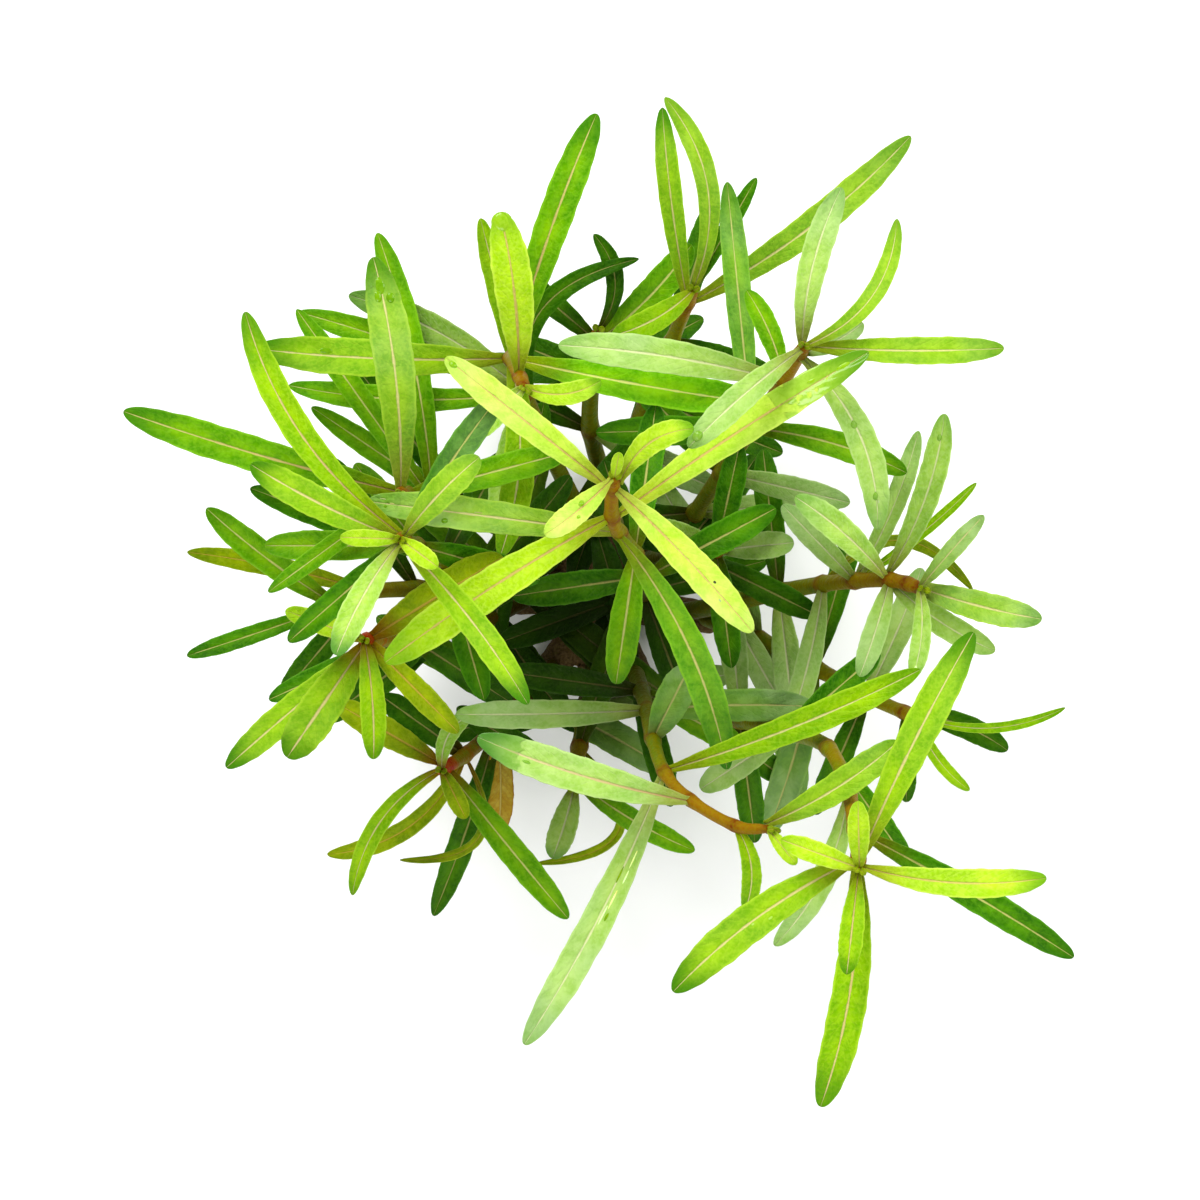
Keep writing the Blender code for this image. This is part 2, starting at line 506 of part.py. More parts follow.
def add_stock(collection):
    """The creeping stock: arms along the ground from one hub, cut off flat at ground level."""
    hub_path = [(0, 0, -1), (0, 0, HUB_HEIGHT * 0.6), (0, 0, HUB_HEIGHT)]
    stock = tube("stock", hub_path, [HUB_RADIUS, HUB_RADIUS, HUB_RADIUS * 0.7], 8, "stock", collection)
    arms = []
    for k, points in enumerate(STOCK_ARMS):
        near_x, near_y = points[0]
        path = [(near_x * STOCK_OVERLAP, near_y * STOCK_OVERLAP, STOCK_AXIS_HEIGHT)]
        path += [(x, y, STOCK_AXIS_HEIGHT) for x, y in points]
        radii = np.linspace(STOCK_RADIUS, STOCK_TIP_RADIUS, len(path))
        arms.append(tube(f"arm_{k}", path, radii, 8, "stock", collection))
    join_to(stock, arms)
    bm = bmesh.new()
    bm.from_mesh(stock.data)
    geometry = bm.verts[:] + bm.edges[:] + bm.faces[:]
    cut = bmesh.ops.bisect_plane(bm, geom=geometry, plane_co=(0, 0, 0), plane_no=(0, 0, -1),
                                 clear_outer=True)
    rim = [e for e in cut["geom_cut"] if isinstance(e, bmesh.types.BMEdge)]
    bmesh.ops.contextual_create(bm, geom=rim)
    bmesh.ops.recalc_face_normals(bm, faces=bm.faces)
    bm.to_mesh(stock.data)
    bm.free()


def main():
    """Clears the scene and builds the clump in a collection of its own."""
    for old in list(bpy.data.objects):
        bpy.data.objects.remove(old)
    rotala = bpy.data.collections.new("rotala")
    bpy.context.scene.collection.children.link(rotala)
    add_stock(rotala)
    for name, shoot in SHOOTS.items():
        add_shoot(name, shoot, rotala)


main()
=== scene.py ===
"""The looks of a free-standing clump of narrow-leaved rotala, seen from straight above.

Sixteen leafy stems rise from one short creeping stock. Every blade is a thin closed surface with a
grooved midrib, arching side veins and a pale margin. Every stem is a ringed tube that runs down into
the stock. Shapes are worked out in millimetres from the same table of shoots as the solids, and put
into the meshes in metres. +Z is up and +Y is the top of the photograph.
"""
import logging
from dataclasses import dataclass, field
from enum import Enum

import bpy
import numpy as np
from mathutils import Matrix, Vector


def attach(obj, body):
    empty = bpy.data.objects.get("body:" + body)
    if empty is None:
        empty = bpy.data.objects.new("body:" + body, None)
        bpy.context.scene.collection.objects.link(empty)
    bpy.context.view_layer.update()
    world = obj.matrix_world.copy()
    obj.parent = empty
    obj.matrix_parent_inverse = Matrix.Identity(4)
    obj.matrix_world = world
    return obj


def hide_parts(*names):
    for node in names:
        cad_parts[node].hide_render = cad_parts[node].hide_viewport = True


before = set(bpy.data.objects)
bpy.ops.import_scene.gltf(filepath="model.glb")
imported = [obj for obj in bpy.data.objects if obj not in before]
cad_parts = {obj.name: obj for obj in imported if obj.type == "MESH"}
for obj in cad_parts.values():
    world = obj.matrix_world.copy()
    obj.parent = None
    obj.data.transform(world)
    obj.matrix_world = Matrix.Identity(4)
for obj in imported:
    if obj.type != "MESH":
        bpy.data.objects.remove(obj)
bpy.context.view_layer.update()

MM = 0.001
# One wave of a sine, the side veins of a leaf, and how far they lean as a share of its length.
WAVE = 6.28
VEINS = 13.0
VEIN_SLANT = 0.16
# Where the painted shade deep in the clump is darkest, in millimetres, and how much light it takes away
# there.
PAINTED_SHADE_MIDDLE = (-2.0, -3.0)
PAINTED_SHADE_RADIUS = 19.0
PAINTED_SHADE_HEIGHTS = (36.0, 64.0)
DEEPEST_PAINTED_SHADE = 0.90
BLADE_MAP = "blade_map"
# Of the marks that each piece carries, shade is partly painted shade and the pale waxy coat partly a painted
# sheen.
MARKS = ("seed", "shade", "bloom_and_sheen", "blush", "dark_tip", "wet", "under", "ruddy", "age", "ring", "rib")
UP = np.array([0.0, 0.0, 1.0])
RGBA = tuple[float, float, float, float]
Screen = tuple[int, int, int]
Point = tuple[float, float, float]
Faces = list[tuple[int, ...]]
Socket = bpy.types.NodeSocket

log = logging.getLogger("rotala")


class Tone(Enum):
    """The ages and kinds of leaf. Each value is the record's material slot."""

    YOUNG = "young"
    LIME = "lime"
    GREEN = "green"
    DARK = "dark"
    PALE = "pale"
    OLIVE = "olive"
    TAN = "tan"


YOUNG, LIME, GREEN, DARK, PALE, OLIVE, TAN = Tone


def linear(red: float, green: float, blue: float) -> RGBA:
    """A screen colour of 0 to 255 as linear light with full alpha.

    Args:
        red: the red of the screen colour.
        green: the green of the screen colour.
        blue: the blue of the screen colour.

    Returns:
        The four numbers that a colour socket takes.
    """
    share = np.array([red, green, blue]) / 255
    light = np.where(share <= 0.04045, share / 12.92, ((share + 0.055) / 1.055) ** 2.4)
    return (*(float(x) for x in light), 1.0)


def unit(rows: np.ndarray) -> np.ndarray:
    """Each row of an array of vectors, divided by its own length."""
    return rows / np.maximum(np.linalg.norm(rows, axis=-1, keepdims=True), 1e-12)


def smoothstep(value: np.ndarray, low: float, high: float) -> np.ndarray:
    """Rises from 0 at low to 1 at high as three squares less two cubes of the share between them."""
    share = np.clip((value - low) / (high - low), 0, 1)
    return share * share * (3 - 2 * share)


def through(points: np.ndarray, steps: int) -> np.ndarray:
    """A smooth path through points: on each stretch a cubic whose slopes are half the neighbours' gap.

    Args:
        points: the corners of the path, in order.
        steps: how many points each stretch gets.

    Returns:
        The points of the smooth path, with the last corner.
    """
    before = np.vstack([2 * points[0] - points[1], points[:-2], points[-2]])[: len(points) - 1]
    start, end = points[:-1], points[1:]
    after = np.vstack([points[2:], 2 * points[-1] - points[-2]])
    t = (np.arange(steps) / steps)[None, :, None]
    slope_in = (end - before)[:, None] / 2
    slope_out = (after - start)[:, None] / 2
    path = (
        start[:, None] * (2 * t**3 - 3 * t**2 + 1)
        + slope_in * (t**3 - 2 * t**2 + t)
        + end[:, None] * (3 * t**2 - 2 * t**3)
        + slope_out * (t**3 - t**2)
    )
    return np.vstack([path.reshape(-1, 3), points[-1]])


def painted_clump_shade(points: np.ndarray) -> np.ndarray:
    """Painted shade low in the clump: a bell curve about its middle times a fall with height."""
    away = np.hypot(points[:, 0] - PAINTED_SHADE_MIDDLE[0], points[:, 1] - PAINTED_SHADE_MIDDLE[1])
    return DEEPEST_PAINTED_SHADE * np.exp(-((away / PAINTED_SHADE_RADIUS) ** 2)) * (1 - smoothstep(points[:, 2], *PAINTED_SHADE_HEIGHTS))


def once_around(count: int) -> np.ndarray:
    """That many equal angles once around, in radians."""
    return 2 * np.pi * np.arange(count) / count


@dataclass
class Patch:
    """One closed surface: points in millimetres, faces, blade map and marks for the materials."""

    points: np.ndarray
    faces: Faces
    map: np.ndarray
    marks: dict[str, np.ndarray]
    finish: str


def closed_surface(rings: np.ndarray, start: np.ndarray, end: np.ndarray) -> tuple[np.ndarray, Faces]:
    """Rings of points joined by quads, and drawn together in one point at each end.

    Args:
        rings: the rings' points, one ring to a row, turning the same way as a right-hand screw.
        start: the point that closes the first ring.
        end: the point that closes the last ring.

    Returns:
        The points and the faces of the surface, facing outwards.
    """
    count, around = rings.shape[:2]
    here = np.arange(around)
    following = (here + 1) % around
    row = np.arange(count - 1)[:, None] * around
    quads = np.stack([row + here, row + following, row + around + following, row + around + here], -1)
    first = np.full(around, count * around)
    last = (count - 1) * around
    near = np.stack([following, here, first], -1)
    far = np.stack([last + here, last + following, first + 1], -1)
    faces = [tuple(face) for face in quads.reshape(-1, 4).tolist()]
    faces += [tuple(face) for face in np.vstack([near, far]).tolist()]
    return np.vstack([rings.reshape(-1, 3), start, end]), faces


def rings_about(
    path: np.ndarray, forward: np.ndarray, radius: np.ndarray, square_to: np.ndarray
) -> np.ndarray:
    """Rings of points square to a path, by the cosine and sine of equal angles.

    Args:
        path: the rings' middles.
        forward: the direction of the path at each.
        radius: how far each point of each ring lies from its middle.
        square_to: a direction that every ring's first point lies square to.

    Returns:
        The points, one ring to a row.
    """
    angle = once_around(radius.shape[1])[None, :, None]
    first = unit(np.cross(square_to, forward))
    second = np.cross(forward, first)
    outwards = np.cos(angle) * first[:, None] + np.sin(angle) * second[:, None]
    return path[:, None] + radius[..., None] * outwards


def to_object(name: str, patches: list[Patch], finishes: "Finishes") -> bpy.types.Object:
    """Joins patches to one smooth mesh object with its map, marks and materials.

    Args:
        name: the name of the object.
        patches: the closed surfaces that it is made of.
        finishes: where the patches' materials come from.

    Returns:
        The new object, at the origin, in the scene's own collection.
    """
    starts = np.cumsum([0] + [len(patch.points) for patch in patches])
    faces = [tuple(int(k + start) for k in face)
             for patch, start in zip(patches, starts) for face in patch.faces]
    points = np.vstack([patch.points for patch in patches]) * MM
    mesh = bpy.data.meshes.new(name)
    mesh.from_pydata(points.tolist(), [], faces)
    used = sorted({patch.finish for patch in patches})
    for finish in used:
        mesh.materials.append(finishes.material(finish))
    slots = np.concatenate([np.full(len(patch.faces), used.index(patch.finish)) for patch in patches])
    mesh.polygons.foreach_set("material_index", slots.astype(np.int32))
    mesh.polygons.foreach_set("use_smooth", np.ones(len(faces), bool))
    corner = np.zeros(len(mesh.loops), np.int32)
    mesh.loops.foreach_get("vertex_index", corner)
    layer = mesh.uv_layers.new(name=BLADE_MAP)
    flat = np.vstack([patch.map for patch in patches])
    layer.uv.foreach_set("vector", flat[corner].astype(np.float32).ravel())
    for mark in MARKS:
        values = [patch.marks.get(mark, np.zeros(len(patch.points))) for patch in patches]
        attribute = mesh.attributes.new(mark, "FLOAT", "POINT")
        attribute.data.foreach_set("value", np.concatenate(values).astype(np.float32))
    mesh.update()
    made = bpy.data.objects.new(name, mesh)
    bpy.context.scene.collection.objects.link(made)
    return made


@dataclass
class Graph:
    """A node tree, with short calls that add one node, set or link its sockets and give its output."""

    tree: bpy.types.NodeTree

    def put(self, socket: Socket, value: object) -> None:
        """Links another node's output to the socket, or sets its constant. A tuple is a screen colour."""
        if isinstance(value, Socket):
            self.tree.links.new(value, socket)
        else:
            socket.default_value = linear(*value) if isinstance(value, tuple) else value

    def fill(self, node: bpy.types.Node, **values: object) -> bpy.types.Node:
        """Puts values into a node's inputs.

        Args:
            node: the node.
            values: what each input is set or linked to, with underscores for the spaces in its name.

        Returns:
            The same node.
        """
        for name, value in values.items():
            self.put(node.inputs[name.replace("_", " ")], value)
        return node

    def add(self, kind: str, **values: object) -> bpy.types.Node:
        """Adds one shader node of that kind and fills its inputs."""
        return self.fill(self.tree.nodes.new("ShaderNode" + kind), **values)

    def math(self, operation: str, *values: object) -> Socket:
        """One Math node of that operation on one to three values."""
        node = self.add("Math")
        node.operation = operation
        for socket, value in zip(node.inputs, values):
            self.put(socket, value)
        return node.outputs[0]

    def by(self, value: object, factor: object) -> Socket:
        """The value times the factor."""
        return self.math("MULTIPLY", value, factor)

    def line(self, value: object, slope: object, start: object) -> Socket:
        """The value times the slope, plus the start."""
        return self.math("MULTIPLY_ADD", value, slope, start)

    def ramp(self, value: object, low: object, high: object, floor: float = 0.0, top: float = 1.0) -> Socket:
        """A Map Range node that rises smoothly from floor at low to top at high.

        Args:
            value: what is mapped.
            low: where the rise starts.
            high: where it ends.
            floor: the output at low.
            top: the output at high.

        Returns:
            The mapped value.
        """
        node = self.add("MapRange")
        node.interpolation_type = "SMOOTHSTEP"
        for socket, given in zip(node.inputs, (value, low, high, floor, top)):
            self.put(socket, given)
        return node.outputs[0]

    def fall(self, value: object, low: object, high: object) -> Socket:
        """A ramp that falls from 1 at low to 0 at high."""
        return self.ramp(value, low, high, 1.0, 0.0)

    def blend(self, factor: object, first: object, second: object) -> Socket:
        """A colour mix that goes from first to second as the factor goes from 0 to 1."""
        node = self.add("Mix")
        node.data_type = "RGBA"
        for index, value in ((0, factor), (6, first), (7, second)):
            self.put(node.inputs[index], value)
        return node.outputs[2]

    def times(self, factor: object, first: object, second: object) -> Socket:
        """A colour mix that multiplies first by second as far as the factor says."""
        result = self.blend(factor, first, second)
        result.node.blend_type = "MULTIPLY"
        return result

    def mark(self, name: str) -> Socket:
        """One of the piece's own marks, read from its attribute."""
        node = self.add("Attribute")
        node.attribute_name = name
        return node.outputs["Fac"]

    def shaded(self, colour: Socket) -> Socket:
        """The colour times what the piece's shade mark leaves of it: painted shade, with some darker or
        lighter tone of the piece's own.
        """
        left = self.math("SUBTRACT", 1.0, self.mark("shade"))
        return self.times(1.0, colour, self.add("CombineColor", Red=left, Green=left, Blue=left).outputs[0])

    def place(self) -> Socket:
        """The point's place in the object's own coordinates."""
        return self.add("TexCoord").outputs["Object"]

    def blade(self) -> tuple[Socket, Socket]:
        """The blade map: the share from foot to tip, and the share across from minus one to one."""
        node = self.add("UVMap")
        node.uv_map = BLADE_MAP
        parts = self.add("SeparateXYZ", Vector=node.outputs[0])
        return parts.outputs[0], self.line(parts.outputs[1], 2.0, -1.0)

    def shifted(self, place: object, shift: object) -> Socket:
        """A place moved by the same amount along each axis, so that a pattern differs from leaf to leaf."""
        node = self.add("VectorMath")
        node.operation = "ADD"
        self.put(node.inputs[0], place)
        self.put(node.inputs[1], shift)
        return node.outputs[0]

    def noise(self, place: object, scale: float, detail: float) -> Socket:
        """A Noise Texture read at a place.

        Args:
            place: the point that the noise is read at.
            scale: how many features there are to a metre.
            detail: how many finer layers are added.

        Returns:
            The noise as a value about one half.
        """
        return self.add("TexNoise", Vector=place, Scale=scale, Detail=detail).outputs[0]

    def use(self, group: bpy.types.NodeTree, **values: object) -> dict[str, Socket]:
        """Places a node group and fills its inputs.

        Args:
            group: the node group.
            values: what its inputs are set or linked to.

        Returns:
            The group's outputs by name.
        """
        node = self.add("Group")
        node.node_tree = group
        return {socket.name: socket for socket in self.fill(node, **values).outputs}

    def bump(self, height: object, distance: float, strength: float) -> Socket:
        """A Bump node of that height.

        Args:
            height: the height as a share of the distance.
            distance: the distance in metres.
            strength: how strongly the normal turns.

        Returns:
            The bumped normal.
        """
        return self.add("Bump", Strength=strength, Distance=distance, Height=height).outputs["Normal"]

    def show(self, shader: bpy.types.Node) -> None:
        """Makes a shader the material's surface."""
        self.add("OutputMaterial", Surface=shader.outputs[0])


def new_material(name: str) -> tuple[bpy.types.Material, Graph]:
    """A material with an empty node tree.

    Args:
        name: the name of the material.

    Returns:
        The material and the graph of its tree.
    """
    made = bpy.data.materials.new(name)
    made.use_nodes = True
    made.node_tree.nodes.clear()
    return made, Graph(made.node_tree)


def new_group(name: str, inputs: tuple[str, ...], outputs: tuple[str, ...]) -> tuple[Graph, dict, dict]:
    """An empty shader node group with value sockets, and a vector socket for an input named Place.

    Args:
        name: the name of the group.
        inputs: the names of its inputs.
        outputs: the names of its outputs.

    Returns:
        The group's graph, its inputs by name to read from, and its outputs by name to put into.
    """
    tree = bpy.data.node_groups.new(name, "ShaderNodeTree")
    for socket in inputs:
        kind = "NodeSocketVector" if socket == "Place" else "NodeSocketFloat"
        tree.interface.new_socket(socket, in_out="INPUT", socket_type=kind)
    for socket in outputs:
        tree.interface.new_socket(socket, in_out="OUTPUT", socket_type="NodeSocketFloat")
    entry = tree.nodes.new("NodeGroupInput")
    leave = tree.nodes.new("NodeGroupOutput")
    given = {socket.name: socket for socket in entry.outputs if socket.name}
    wanted = {socket.name: socket for socket in leave.inputs if socket.name}
    return Graph(tree), given, wanted


def blade_marks_group() -> bpy.types.NodeTree:
    """Masks that follow a blade: midrib, the lighter core beside it, side veins, margin, tip and foot.

    The midrib is where the share across is small, narrower towards the tip. A side vein is where
    the share along, less a part of the share across, comes round to a whole number of spacings.

    Returns:
        The node group.
    """
    graph, given, wanted = new_group(
        "blade_marks", ("Along", "Across", "Veins", "Wobble"),
        ("Midrib", "Core", "Vein", "Margin", "Tip", "Foot"))
    along, wobble = given["Along"], given["Wobble"]
    beside = graph.math("ABSOLUTE", given["Across"])
    width = graph.line(along, -0.08, graph.line(wobble, 0.12, 0.11))
    count = graph.line(graph.line(beside, -VEIN_SLANT, along), given["Veins"], wobble)
    apart = graph.math("ABSOLUTE", graph.math("SUBTRACT", graph.math("FRACT", count), 0.5))
    graph.put(wanted["Core"], graph.fall(beside, 0.15, 0.75))
    graph.put(wanted["Midrib"], graph.fall(beside, graph.by(width, 0.3), width))
    graph.put(wanted["Vein"], graph.by(graph.fall(apart, 0.02, 0.17), graph.ramp(beside, 0.97, 0.72)))
    graph.put(wanted["Margin"], graph.ramp(beside, 0.80, 0.97))
    graph.put(wanted["Tip"], graph.ramp(graph.line(beside, 0.05, along), 0.78, 1.0))
    graph.put(wanted["Foot"], graph.fall(along, 0.02, 0.26))
    return graph.tree


def tissue_group() -> bpy.types.NodeTree:
    """Mottling of living tissue: fine cells, patches of a few millimetres and broad drifts of colour."""
    graph, given, wanted = new_group("tissue", ("Place", "Seed"), ("Fine", "Patches", "Drift"))
    place = graph.shifted(given["Place"], graph.by(given["Seed"], 3.7))
    for name, scale, detail, low in (
        ("Fine", 2300, 1.0, 0.36), ("Patches", 520, 2.0, 0.38), ("Drift", 130, 0.0, 0.38)
    ):
        graph.put(wanted[name], graph.ramp(graph.noise(place, scale, detail), low, 1 - low))
    return graph.tree


def wet_film_group() -> bpy.types.NodeTree:
    """A thin film of water in patches: the more wet a place is marked, the more of it is covered."""
    graph, given, wanted = new_group("wet_film", ("Place", "Wet"), ("Film",))
    grain = graph.noise(given["Place"], 520, 2.0)
    edge = graph.line(given["Wet"], -0.24, 0.66)
    patch = graph.ramp(grain, edge, graph.math("ADD", edge, 0.10))
    graph.put(wanted["Film"], graph.by(patch, graph.ramp(given["Wet"], 0.0, 0.9)))
    return graph.tree


@dataclass(frozen=True)
class LeafFinish:
    """Living leaf tissue of one tone: screen colours, how strongly each shows, gloss and light passed."""

    blade: Screen
    core: Screen
    deep: Screen
    margin: Screen
    midrib: Screen
    tip: Screen
    under: Screen
    blush: Screen = (206, 148, 108)
    # A pale waxy coat together with a painted sheen, laid on towards the tip.
    bloom_and_sheen: Screen = (186, 214, 150)
    film: Screen = (140, 190, 60)
    foot: Screen = (130, 112, 4)
    red_foot: Screen = (150, 54, 0)
    core_share: float = 0.75
    fine_share: float = 0.22
    vein_share: float = 0.13
    margin_share: float = 0.55
    midrib_share: float = 0.78
    under_share: float = 0.75
    film_share: float = 0.5
    roughness: float = 0.46
    relief: float = 0.00013
    passing: float = 0.22

    def build(self, name: str, groups: dict[str, bpy.types.NodeTree]) -> bpy.types.Material:
        """Makes the material.

        Args:
            name: the name of the material.
            groups: the shared node groups by name.

        Returns:
            The material, a Principled shader mixed with a little translucence.
        """
        made, graph = new_material(name)
        place, seed = graph.place(), graph.mark("seed")
        along, across = graph.blade()
        tissue = graph.use(groups["tissue"], Place=place, Seed=seed)
        fine, patches, drift = tissue["Fine"], tissue["Patches"], tissue["Drift"]
        marks = graph.use(groups["blade_marks"], Along=along, Across=across, Veins=VEINS,
                          Wobble=graph.by(patches, 0.35))
        film = graph.use(groups["wet_film"], Place=place, Wet=graph.mark("wet"))["Film"]
        ruddy = graph.mark("ruddy")

        uneven = graph.line(drift, 0.4, graph.by(patches, -0.35))
        # Painted sheen together with the pale waxy coat, stronger towards the tip.
        bloom_and_sheen = graph.by(graph.mark("bloom_and_sheen"), graph.math("ADD", uneven, 0.75))
        midrib = graph.blend(graph.mark("blush"), self.midrib, self.blush)
        foot = graph.by(marks["Foot"], graph.line(ruddy, 0.5, 0.3))
        colour = self.blade
        for share, laid_on in (
            (graph.by(marks["Core"], self.core_share), self.core),
            (graph.line(patches, 0.44, graph.by(drift, 0.36)), self.deep),
            (graph.by(fine, self.fine_share), self.margin),
            (graph.by(marks["Vein"], self.vein_share), self.margin),
            (graph.by(marks["Margin"], self.margin_share), self.margin),
            (bloom_and_sheen, self.bloom_and_sheen),
            (graph.by(marks["Tip"], graph.mark("dark_tip")), self.tip),
            (foot, graph.blend(ruddy, self.foot, self.red_foot)),
            (graph.by(marks["Midrib"], self.midrib_share), midrib),
            (graph.by(graph.mark("under"), self.under_share), self.under),
        ):
            colour = graph.blend(share, colour, laid_on)
        # Painted shade from the shade mark darkens the colour here, before the water film.
        colour = graph.times(graph.by(film, self.film_share), graph.shaded(colour), self.film)

        relief = graph.line(marks["Midrib"], -0.6, graph.line(marks["Vein"], -0.30, graph.by(fine, 0.35)))
        water = graph.line(film, 1.6, graph.by(relief, graph.math("SUBTRACT", 1.0, film)))
        normal = graph.bump(water, self.relief, 0.75)
        rough = graph.line(film, -0.15, graph.line(fine, 0.12, self.roughness - 0.06))
        shader = graph.add("BsdfPrincipled", Base_Color=colour, Roughness=rough, Normal=normal,
                           Coat_Weight=graph.by(film, 0.9), Coat_Roughness=0.08, Coat_IOR=1.33,
                           Specular_IOR_Level=0.14)
        shader.inputs["Specular Tint"].default_value = (0.70, 0.95, 0.35, 1)
        back = graph.add("BsdfTranslucent", Color=colour, Normal=normal)
        both = graph.add("MixShader")
        for socket, value in zip(both.inputs, (self.passing, shader.outputs[0], back.outputs[0])):
            graph.put(socket, value)
        graph.show(both)
        return made


@dataclass(frozen=True)
class BarkFinish:
    """Stem skin: one colour by age, another on the rings of the nodes, with long ribs and small dots."""

    old: Screen
    new: Screen
    ring: Screen
    dots: Screen
    roughness: float = 0.5
    relief: float = 0.0002
    new_from: float = 0.35
    rib_share: float = 0.25
    dots_share: float = 0.35

    def build(self, name: str, groups: dict[str, bpy.types.NodeTree]) -> bpy.types.Material:
        """Makes the material.

        Args:
            name: the name of the material.
            groups: the shared node groups by name.

        Returns:
            The material, a plain Principled shader.
        """
        made, graph = new_material(name)
        tissue = graph.use(groups["tissue"], Place=graph.place(), Seed=graph.mark("seed"))
        age = graph.line(tissue["Drift"], 0.25, graph.mark("age"))
        aged_ring = graph.ramp(age, self.new_from - 0.3, self.new_from + 0.2, 0.3, 0.85)
        colour = graph.blend(graph.ramp(age, self.new_from, 1.05), self.old, self.new)
        colour = graph.blend(graph.by(graph.mark("ring"), aged_ring), colour, self.ring)
        colour = graph.blend(graph.by(graph.mark("rib"), self.rib_share), colour, self.ring)
        colour = graph.blend(graph.by(tissue["Fine"], self.dots_share), colour, self.dots)
        height = graph.line(tissue["Patches"], 0.6, graph.by(tissue["Fine"], 0.3))
        # The base colour takes the painted shade of the shade mark.
        shader = graph.add("BsdfPrincipled", Base_Color=graph.shaded(colour),
                           Roughness=graph.line(tissue["Fine"], 0.15, self.roughness),
                           Normal=graph.bump(height, self.relief, 0.6), Specular_IOR_Level=0.10)
        shader.inputs["Specular Tint"].default_value = (1.0, 0.80, 0.35, 1)
        graph.show(shader)
        return made


@dataclass
class Finishes:
    """Every finish of the plant, each made into a material when it is first asked for."""

    groups: dict[str, bpy.types.NodeTree] = field(default_factory=dict)
    made: dict[str, bpy.types.Material] = field(default_factory=dict)
    leaves: dict[Tone, LeafFinish] = field(default_factory=lambda: {
        YOUNG: LeafFinish((172, 212, 14), (192, 228, 34), (140, 192, 0), (216, 240, 90), (218, 196, 112),
                          (106, 164, 22), (176, 204, 60), bloom_and_sheen=(236, 252, 146)),
        LIME: LeafFinish((134, 184, 0), (160, 204, 0), (100, 160, 0), (182, 218, 50), (236, 222, 158),
                         (56, 122, 8), (150, 190, 44)),
        GREEN: LeafFinish((100, 164, 0), (140, 190, 4), (64, 134, 0), (142, 198, 40), (222, 220, 134),
                          (40, 108, 10), (122, 172, 50)),
        DARK: LeafFinish((62, 130, 0), (96, 156, 2), (28, 92, 0), (100, 166, 26), (206, 206, 116),
                         (24, 88, 14), (84, 144, 40)),
        PALE: LeafFinish((158, 202, 62), (186, 220, 90), (120, 174, 36), (200, 226, 136), (232, 234, 182),
                         (82, 142, 52), (158, 196, 84)),
        OLIVE: LeafFinish((140, 166, 0), (170, 188, 4), (96, 132, 0), (178, 194, 40), (204, 170, 60),
                          (84, 104, 4), (146, 164, 40)),
        TAN: LeafFinish((206, 184, 66), (220, 200, 90), (182, 142, 20), (146, 76, 4), (216, 200, 110),
                        (130, 74, 4), (190, 166, 80)),
    })
    skins: dict[str, BarkFinish] = field(default_factory=lambda: {
        "stem": BarkFinish((90, 112, 0), (134, 96, 0), (96, 30, 0), (130, 118, 6), new_from=0.5),
        "red_stem": BarkFinish((96, 104, 0), (150, 46, 0), (140, 0, 0), (140, 90, 4), new_from=0.8),
        "stock": BarkFinish((60, 46, 22), (88, 68, 34), (42, 28, 12), (100, 84, 56), 0.72, 0.0005),
    })

    def material(self, name: str) -> bpy.types.Material:
        """The material of that finish: a tone's value, or stem, red_stem or stock."""
        if not self.groups:
            self.groups = {
                "blade_marks": blade_marks_group(), "tissue": tissue_group(), "wet_film": wet_film_group()}
        if name not in self.made:
            finish = self.skins[name] if name in self.skins else self.leaves[Tone(name)]
            self.made[name] = finish.build(name + "_finish", self.groups)
        return self.made[name]


@dataclass(frozen=True)
class Look:
    """How one leaf differs from its tone, mostly as shares from 0 to 1.

    Shade is painted shade over all of it, partly also a darker tone of its own; below 0 it lightens the
    leaf, partly as painted light. foot_shade is painted shade at its inner end. Bloom is a pale waxy coat
    with a painted sheen, growing towards the tip; blush is a pink midrib, dark_tip a darker end. Wet is
    a film of water from wet_from on, whole from about 2.
    """

    shade: float = 0.0
    foot_shade: float = 0.15
    bloom_and_sheen: float = 0.0
    blush: float = 0.2
    dark_tip: float = 0.35
    wet: float = 0.0
    wet_from: float = 0.35


# Bloom in these looks is partly a painted sheen. SHADED, BURIED and DIM hold painted shade, and DIM a pale
# haze over it.
PLAIN = Look()
FRESH = Look(foot_shade=0.05, bloom_and_sheen=0.5, blush=0.8, dark_tip=0.2)
STREAKED = Look(foot_shade=0, bloom_and_sheen=0.3, blush=0.9, dark_tip=0.9, wet=1.5, wet_from=0.5)
DIPPED = Look(bloom_and_sheen=0.05, blush=0.35, dark_tip=0.9)
SOAKED = Look(foot_shade=0.05, bloom_and_sheen=0.6, blush=0.9, dark_tip=0.9, wet=2.6, wet_from=0.66)
FLUSHED = Look(foot_shade=0.25, blush=0.8, dark_tip=0.7)
HAZY = Look(bloom_and_sheen=0.12, blush=0.1, dark_tip=0.45)
MISTY = Look(bloom_and_sheen=0.6, blush=0.1, dark_tip=0.4)
DULL = Look(bloom_and_sheen=0.2, blush=0.1, dark_tip=0.6)
GLAZED = Look(bloom_and_sheen=0.45, blush=0.1, dark_tip=0.5, wet=0.5, wet_from=0.6)
DIM = Look(shade=0.24, bloom_and_sheen=0.55, blush=0.1, dark_tip=0.3)
SHADED = Look(shade=0.06, foot_shade=0.3, dark_tip=0.3)
BURIED = Look(shade=0.4, foot_shade=0.5, dark_tip=0.2)


